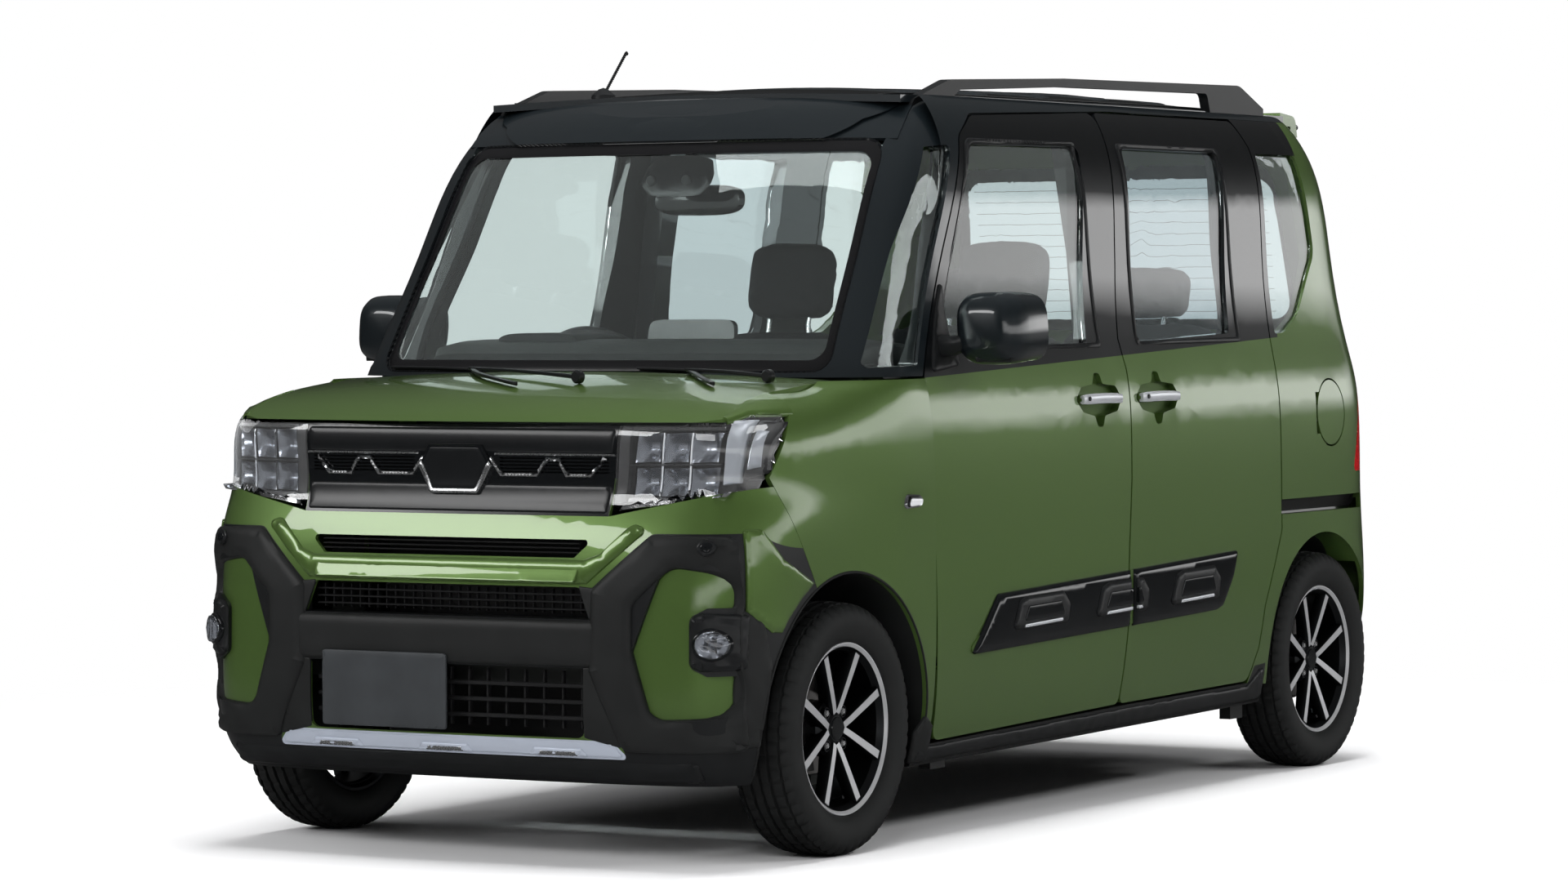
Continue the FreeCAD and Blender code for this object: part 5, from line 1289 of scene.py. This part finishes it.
# Share of the way out, face and back of a spoke; its section's side, width beyond the half and drop
SPOKE = ((0.0, 39, 34), (0.18, 43, 32), (0.45, 47, 28), (0.75, 51, 26), (1.0, 54, 26))
SPOKE_SECTION = ((-1, 4.5, None), (-1, 3.0, 6), (-1, 0, 0), (1, 0, 0), (1, 3.0, 6), (1, 4.5, None))
SPOKE_FACE = ((0.0, 39.4, 0), (0.18, 43.4, 0), (0.45, 47.4, 0), (0.75, 51.4, 0), (0.985, 54.2, 0))
SPOKE_FACE_SECTION = ((-1, 0, 1.5), (-1, 0, 0), (1, 0, 0), (1, 0, 1.5))
SPOKE_START, SPOKE_END = (34, 9), (176, 23.5)
SPOKE_GROWTH = 2.0


def tread(turn, x, radius):
    """Depth of shoulder blocks, fine sipes and sidewall ribs."""
    wide, left = abs(x), x > 0
    if wide > 55.8 and radius > 255 and turn % 4 == 0:
        return 5.0 if radius > 261 else 2.5
    if 30 <= wide <= 50 and radius > 272 and (turn + left) % 4 == 2:
        return 3.5
    if 4 < wide < 21 and radius > 272 and turn % 8 == (1 if left else 5):
        return 3.0
    if wide > 76 and radius < 232:
        return 0.6 * (turn % 2)
    return 0.0


def arm_mesh(name, start, end, half, stations, section):
    """Arm of a wheel between two points of its plane, growing wider on its way out."""
    along = (end - start).normalized()
    across = Vector((-along.y, along.x))
    rings = []
    for share, face, back in stations:
        spot = start.lerp(end, share)
        ring = []
        for side, beyond, drop in section:
            at = spot + across * side * (half + SPOKE_GROWTH * share + beyond)
            ring.append(Vector((face - (back if drop is None else drop), at.x, at.y)))
        rings.append(ring)
    return loft_mesh(name, rings, 28)


def polar(radius, turn):
    return Vector((radius * math.cos(turn), radius * math.sin(turn)))


def rim_mesh():
    """One wheel about the origin, outer side towards +X: dark body, machined faces, nuts and cap."""
    dark, bright, nuts = [lathe_mesh("barrel", BARREL, 120)], [lathe_mesh("lip", LIP, 120)], []
    dark.append(lathe_mesh("hub", HUB, 72))
    cap = lathe_mesh("cap", CAP, 48)
    for quarter in range(4):
        for side in (1, -1):
            start, end = [polar(radius, math.pi / 2 * quarter + side * math.radians(degrees))
                          for radius, degrees in (SPOKE_START, SPOKE_END)]
            dark.append(arm_mesh("spoke", start, end, 7.5, SPOKE, SPOKE_SECTION))
            bright.append(arm_mesh("spoke_face", start, end, 7.2, SPOKE_FACE, SPOKE_FACE_SECTION))
    for quarter in range(4):
        spot = polar(50, math.pi / 4 + math.pi / 2 * quarter)
        dark.append(moved(lathe_mesh("well", WELL, 28), (0, *spot)))
        nuts.append(moved(lathe_mesh("nut", NUT, 6), (0, *spot)))
    valve = [Vector((30, 0, -158)) / MM, Vector((55, 0, -150)) / MM]
    dark.append(sweep_mesh("valve", valve, circle(4, 10), up=ALONG))
    return joined("rim", [joined("dark", dark), joined("bright", bright), joined("nuts", nuts), cap], 28)


def make_wheels():
    tyre = TYRE_HALF + [(-x, radius) for x, radius in reversed(TYRE_HALF[:-1])] + TYRE_BACK
    looks = {"tyre": (lathe_mesh("tyre", tyre, 216, tread), ("rubber",)),
             "rim": (rim_mesh(), ("gunmetal", "machined", "satin_chrome", "gloss_black"))}
    data = {}
    for kind, (mesh, finishes) in looks.items():
        data[kind] = {LEFT: mesh, RIGHT: mirrored(mesh, f"{kind}_right")}
        for made in data[kind].values():
            for finish in finishes:
                made.materials.append(MATERIALS[finish])
    for name, (x, y) in WHEELS.items():
        for kind, made in data.items():
            item = link(bpy.data.objects.new(f"{kind}_{name}_look", made[LEFT if x > 0 else RIGHT]))
            item.location = Vector((x, y, WHEEL_Z)) / MM
            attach(item, f"wheel_{name}")
            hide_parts(f"{kind}_{name}")
    for name, spot in WHEELS.items():
        front = name.startswith("front")
        knuckle = f"knuckle_{name.split('_')[1]}"
        beside_wheel(f"brake_{name}", lathe_mesh(f"brake_{name}", DISC if front else DRUM, 72), spot,
                     knuckle if front else "body", "steel")
        if front:
            rings = []
            for turn in [math.radians(20 + 10 * step) for step in range(7)]:
                out = Vector((0, *polar(1, turn)))
                rings.append(super_ring(out * 104, 22, 24, ACROSS, out, 5, 20))
            mesh = loft_mesh(f"caliper_{name}", rings)
            beside_wheel(f"caliper_{name}", moved(mesh, (-32, 0, 0)), spot, knuckle, "cast")


def beside_wheel(name, mesh, spot, body, finish):
    """Left-hand piece of the brakes, mirrored first on the right."""
    if spot[0] < 0:
        mesh = mirrored(mesh, f"{name}_right")
    new_object(name, moved(mesh, (*spot, WHEEL_Z)), body, finish)


# Tail

REAR_BUMPER_LOWER = [(560, 262, 24), (640, 330, 24), (650, 470, 30), (300, 500, 20)]
REAR_BUMPER_CORNER = [(1560, 262, 10), (1600, 420, 30), (1642, 690, 10), (1668, 690, 10), (1674, 300, 20)]
GATE_FRIT = both_sides([(524, 1126, 60), (490, 1572, 60)])
GATE_CLEAR = both_sides([(488, 1160, 50), (458, 1536, 50)])
GATE_PLATE = [(-165, 778, 8), (-165, 932, 8), (165, 932, 8), (165, 778, 8)]
SPOILER_ROWS = ((0, 1500, 1683, 520, 7), (0, 1530, 1676, 528, 8), (0, 1552, 1667, 530, 7),
                (0, 1562, 1662, 520, 4))
STOP_ROWS = ((0, 1550, 1664, 110, 4), (0, 1563, 1664, 110, 4), (0, 1565, 1664, 106, 4))


def tail_outward(centre):
    return max(centre.x - 0.45, 0.02) * 1.4, max(centre.y - 1.40, 0.02), 0


def make_tail():
    gate, bumper = ("tailgate", "tailgate_glass"), ("rear_bumper",)
    found = outer_faces("tail_lamps", tail_outward, 0.5, 0.03, 0.12)
    lens = lamp_shell("tail", found, 2.4, 2.6, 34, "red_lens", "lamp_silver")
    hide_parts("tail_lamps")
    for row, z in enumerate(range(790, 1120, 34)):
        rib = touched_path(("tail_lamps",), "rear", [(x, z) for x in range(610, 700, 10)], (0, -14, 0))
        sweep(f"tail_rib_{row}", rib, bar_section(12, 7, 1.5), "lamp_white", both=True)
    middle_pad("gate_handle_trim", "rear", gate, both_sides([(238, 944, 8), (250, 1000, 14)]), 14,
               "gloss_black", "tailgate", edge=12, spacing=14, even=6)
    middle_pad("gate_lower_trim", "rear", gate, both_sides([(560, 722, 12), (566, 762, 10)]), 5, "satin_trim",
               "tailgate", edge=8, spacing=16, even=6)
    middle_pad("rear_plate", "rear", gate, GATE_PLATE, 2.5, "plate_dark", "tailgate", edge=2, spacing=20,
               even=40, lift=3)
    for side, hand in HANDS.items():
        lathe(f"plate_lamp_{hand}", [(0, 0), (0, 14), (4, 15), (7, 11), (7, 0)], 24, (70 * side, 1668, 946),
              "lamp_white", "tailgate", turn=turned(90, "Z"))
    middle_pad("rear_glass_frit", "rear", ("tailgate_glass", "tailgate"), GATE_FRIT, 1.2, "gloss_black",
               "tailgate", edge=2, holes=[GATE_CLEAR], spacing=16, sink=4, even=2)
    for number in range(12):
        spots = [(x, 1180 + 30 * number) for x in range(-440, 441, 110)]
        line = touched_path(("tailgate_glass",), "rear", spots, (0, -6.2, 0))
        sweep(f"heater_{number}", line, bar_section(1.0, 1.2, 0.2), "heater", "tailgate")
    block("rear_spoiler", SPOILER_ROWS, "black_paint", "tailgate", angle=40, axes=(ACROSS, (0, 0.2, 0.98)),
          power=8, count=48)
    block("stop_lamp", STOP_ROWS, "red_lens", "tailgate", power=6, count=24)
    lathe("rear_wiper_hub", [(-14, 0), (-14, 24), (8, 22), (14, 16), (14, 0)], 36, (0, 1643, 1112),
          "satin_trim", "tailgate", turn=turned(97, "Z"))
    spots = [(10 + 330 * step / 14, 1118 + 26 * step / 14) for step in range(15)]
    arm = touched_path(gate, "rear", spots, (0, 10, 0))
    sweep("rear_wiper", arm, bar_section(9, 13, 2), "satin_trim", "tailgate")
    middle_pad("rear_bumper_lower", "rear", bumper, both_sides(REAR_BUMPER_LOWER), 6, "trim", edge=12,
               spacing=18, even=6)
    pad("rear_bumper_corner", "left", ("rear_bumper", "quarters"), REAR_BUMPER_CORNER, 6, "trim", edge=10,
        spacing=14, even=6)
    pad("reflector_rear", "rear", bumper, [(560, 560, 6), (560, 584, 6), (650, 586, 6), (650, 562, 6)], 4,
        "red_lens", edge=3, spacing=10, even=3)
    for number, x in enumerate((-420, -140, 140, 420)):
        middle_pad(f"rear_sensor_{number}", "rear", bumper, disc((x, 600), 11, 11, 20), 2, "satin_trim",
                   edge=2, spacing=6)


# Roof

MAST_FOOT, MAST_TIP = Vector((-380, -440, 1716)), Vector((-380, -338, 1822))
COIL_STEPS, COIL_RADIUS = 160, 3.4


def make_roof():
    for side, hand in HANDS.items():
        spots = [(500 * side, -640 + 2000 * step / 32) for step in range(33)]
        sweep(f"roof_bead_{hand}", touched_path(("roof",), "top", spots, (0, 0, 1)), bar_section(14, 3, 1),
              "satin_trim")
    for number, y in enumerate((-300, 20, 340, 660, 980)):
        outline = [(-400, y, 20), (-400, y + 60, 20), (400, y + 60, 20), (400, y, 20)]
        middle_pad(f"roof_rib_{number}", "top", ("roof",), outline, 3.5, "black_paint", edge=26, spacing=24,
                   even=2)
    foot = lathe("antenna_base", [(0, 0), (0, 30), (8, 28), (16, 18), (22, 12), (26, 0)], 32,
                 (-380, -444, 1706), "satin_trim", turn=turned(-90, "Y"))
    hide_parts("antenna")
    mast = [MAST_FOOT.lerp(MAST_TIP, share) for share in (0, 0.35, 0.7, 1)]
    tube("antenna_mast", mast, 3.0, "satin_trim", up=ACROSS)
    second = (MAST_TIP - MAST_FOOT).normalized().cross(ACROSS)
    coil = []
    for step in range(COIL_STEPS + 1):
        turn = step * math.pi / 4
        around = ACROSS * COIL_RADIUS * math.cos(turn) + second * COIL_RADIUS * math.sin(turn)
        coil.append((MAST_FOOT.lerp(MAST_TIP, 0.1 + 0.86 * step / COIL_STEPS) + around) / MM)
    sweep("antenna_coil", coil, circle(0.9, 6), "satin_trim", up=Vector((0.3, 0.4, 0.8)))
    lathe("antenna_tip", [(-4, 0), (-4, 4.2), (2, 4.2), (4, 2), (4, 0)], 16, MAST_TIP - Vector((0, 0, 4)),
          "satin_trim")


# Cabin

VOXEL, PRESSURE, STUFFED_FRAMES, STUFFED_LIMIT = 0.013, 4.0, 20, 0.014
CUSHION_STEPS = 9
LEANING = (Vector((0, 0.2, 0.98)).normalized(), Vector((0, -0.98, 0.2)).normalized())
LEVEL = (Vector((0, -0.985, 0.17)).normalized(), Vector((0, 0.17, 0.985)).normalized())

# Middle, half width, half length, thickness, and the directions of length and thickness
SEATS = {
    "front_cushion": ((300, -60, 545), 235, 250, 140, LEVEL),
    "front_back": ((300, 225, 862), 222, 290, 130, LEANING),
    "front_head": ((300, 318, 1262), 118, 96, 92, LEANING),
    "rear_cushion": ((268, 850, 610), 262, 235, 120, LEVEL),
    "rear_back": ((268, 1105, 900), 258, 265, 100, LEANING),
    "rear_head": ((268, 1180, 1230), 115, 66, 74, LEANING),
}
SEAT_NODES = {"front_back": "front_seats", "rear_back": "rear_seat"}
STEERING = Vector((-340, -500, 985))
STEERING_WAY = Vector((0, math.sin(math.radians(62)), math.sin(math.radians(28)))).normalized()
GRIP_RADIUS = 178
BOSS_ROWS = ((-28, 52, 46), (-8, 74, 64), (10, 72, 60), (20, 50, 42))
DASH_ROWS = ((0, -905, 1070, 560, 26), (0, -860, 1082, 585, 34), (0, -760, 1088, 596, 40),
             (0, -680, 1076, 600, 46), (0, -640, 1050, 598, 50), (0, -622, 1030, 590, 44))
HOOD_ROWS = ((-340, -800, 1108, 110, 34), (-340, -760, 1108, 140, 34), (-340, -690, 1108, 150, 34),
             (-340, -650, 1108, 148, 34))
KNOB_ROWS = ((44, -598, 950, 12, 12), (44, -598, 966, 22, 22), (44, -598, 990, 24, 24), (44, -598, 1004, 14,
                                                                                         14))


def apply_all(item):
    graph = bpy.context.evaluated_depsgraph_get()
    made = bpy.data.meshes.new_from_object(item.evaluated_get(graph))
    item.modifiers.clear()
    item.data = made


def spots_of(item):
    flat = np.empty(len(item.data.vertices) * 3)
    item.data.vertices.foreach_get("co", flat)
    return flat.reshape(-1, 3)


def stuff(item):
    """Blows a cover up by a cloth simulation, and limits how far each point goes."""
    rest = spots_of(item)
    cloth = item.modifiers.new("cloth", "CLOTH")
    settings = cloth.settings
    settings.use_pressure = True
    settings.uniform_pressure_force = PRESSURE
    settings.effector_weights.gravity = 0
    settings.quality = 5
    settings.tension_stiffness = settings.compression_stiffness = 20
    settings.bending_stiffness = 1.0
    cloth.point_cache.frame_start, cloth.point_cache.frame_end = 1, STUFFED_FRAMES
    scene = bpy.context.scene
    for number in range(1, STUFFED_FRAMES + 1):
        scene.frame_set(number)
    apply_all(item)
    scene.frame_set(1)
    step = spots_of(item) - rest
    length = np.linalg.norm(step, axis=1, keepdims=True)
    step *= np.minimum(1, STUFFED_LIMIT / np.maximum(length, 1e-9))
    item.data.vertices.foreach_set("co", (rest + step).ravel())


def soft_mesh(name, rings):
    """Stuffed cover: closed rings joined, remeshed evenly and blown up a little."""
    item = link(bpy.data.objects.new(name, loft_mesh(name, rings, 180)))
    bpy.context.view_layer.objects.active = item
    remesh = item.modifiers.new("even", "REMESH")
    remesh.mode = "VOXEL"
    remesh.voxel_size = VOXEL * 1.0
    apply_all(item)
    stuff(item)
    subdivision = item.modifiers.new("fine", "SUBSURF")
    subdivision.levels = 1
    apply_all(item)
    result = item.data.copy()
    result.name = name
    bpy.data.objects.remove(item)
    smooth(result, 70)
    return result


def cushion_rings(centre, half_u, half_v, thickness, axes):
    """Rings through the thickness of a crowned cushion with pinched sides."""
    length_way, thick_way = axes
    rings = []
    for step in range(CUSHION_STEPS):
        share = -1 + 2 * step / (CUSHION_STEPS - 1)
        size = 0.80 + 0.20 * math.sqrt(max(1 - (abs(share) ** 2.6), 0.0))
        middle = Vector(centre) + thick_way * thickness / 2 * share
        rings.append(super_ring(middle, half_u * size, half_v * size, ACROSS, length_way, 5, 48))
    return rings


def make_seats():
    for name, form in SEATS.items():
        made = place(name, soft_mesh(name, cushion_rings(*form)), "body", "fabric")
        if name in SEAT_NODES:
            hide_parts(SEAT_NODES[name])
    for name, x, y, z, half in (("front", 300, 302, 1140, 60), ("rear", 268, 1168, 1150, 50)):
        for side, offset in (("inner", -half), ("outer", half)):
            tube(f"{name}_head_post_{side}", [(x + offset, y - 8, z - 30), (x + offset, y + 4, z + 50)], 6,
                 "satin_chrome", both=True)
    level = (ACROSS, ALONG)
    for name, y in (("front", 100), ("front_fore", -230)):
        block(f"seat_base_{name}", [(300, y, 236, 200, 60), (300, y, 480, 200, 60)], "lamp_black", both=True,
              axes=level, power=5, count=24)
    block("rear_seat_base", [(268, 900, 236, 230, 150), (268, 900, 505, 230, 150)], "lamp_black", both=True,
          axes=level, power=6, count=24)


def make_steering():
    above = ACROSS.cross(STEERING_WAY).normalized()
    path = [(STEERING + ACROSS * GRIP_RADIUS * math.cos(turn) + above * GRIP_RADIUS * math.sin(turn)) / MM
            for turn in turns_of(72)]
    wheel = sweep("steering_rim", path, circle(15, 14), "leather", "steering_wheel", up=STEERING_WAY,
                  closed=True)
    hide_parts("steering_wheel")
    rows = [(*(STEERING + STEERING_WAY * depth), wide, tall) for depth, wide, tall in BOSS_ROWS]
    block("steering_boss", rows, "dash", "steering_wheel", axes=(ACROSS, above), power=3, count=36)
    for number, (turn, width) in enumerate(((0.0, 34), (math.pi, 34), (-math.pi / 2, 44))):
        out = ACROSS * math.cos(turn) + above * math.sin(turn)
        start, end = STEERING + out * 50, STEERING + out * 172
        sweep(f"steering_spoke_{number}", [start / MM, start.lerp(end, 0.5) / MM, end / MM],
              bar_section(width, 12, 4), "satin_trim", "steering_wheel", up=STEERING_WAY)


def make_cabin():
    block("dash_top", DASH_ROWS, "dash", angle=40, power=9, count=64)
    block("dial_hood", HOOD_ROWS, "dash", angle=40, count=40)
    block("centre_screen", [(0, y, 1104, 118, 70) for y in (-668, -654, -650)], "gloss_black", angle=40,
          axes=(ACROSS, (0, 0.16, 0.98)), power=8)
    for number, x in enumerate((-540, -150, 150, 540)):
        block(f"air_vent_{number}", [(x, y, 1040, 56, 26) for y in (-640, -616, -612)], "gloss_black",
              angle=40, power=5, count=28)
    tube("gear_lever", [(40, -640, 900), (44, -600, 960)], 9, "satin_chrome")
    block("gear_knob", KNOB_ROWS, "gloss_black", axes=(ACROSS, ALONG), power=3, count=20)
    for name, start, stop, body in (("front", -690, 60, DOOR_BODY), ("rear", 250, 800, "body")):
        rows = [(636, y, 800 + 20 * math.sin((y - start) / (stop - start) * math.pi), 24, 34)
                for y in range(start, stop + 1, 75)]
        block(f"arm_rest_{name}", rows, "satin_trim", body, True, count=20)


make_camera()
make_world()
make_floor()
make_lights()
make_materials()
dress_nodes()
make_grille()
make_bumper()
make_headlamps()
make_fender_tip()
make_brow()
make_windscreen()
wiper(0, (170, 1030), (-560, 1062), 10)
wiper(1, (560, 1030), (150, 1062), 8)
make_cladding()
make_handles()
make_window_trims()
make_mirrors()
make_side_details()
make_wheels()
make_tail()
make_roof()
make_steering()
make_cabin()
make_seats()

bpy.context.scene.view_settings.view_transform = "Standard"
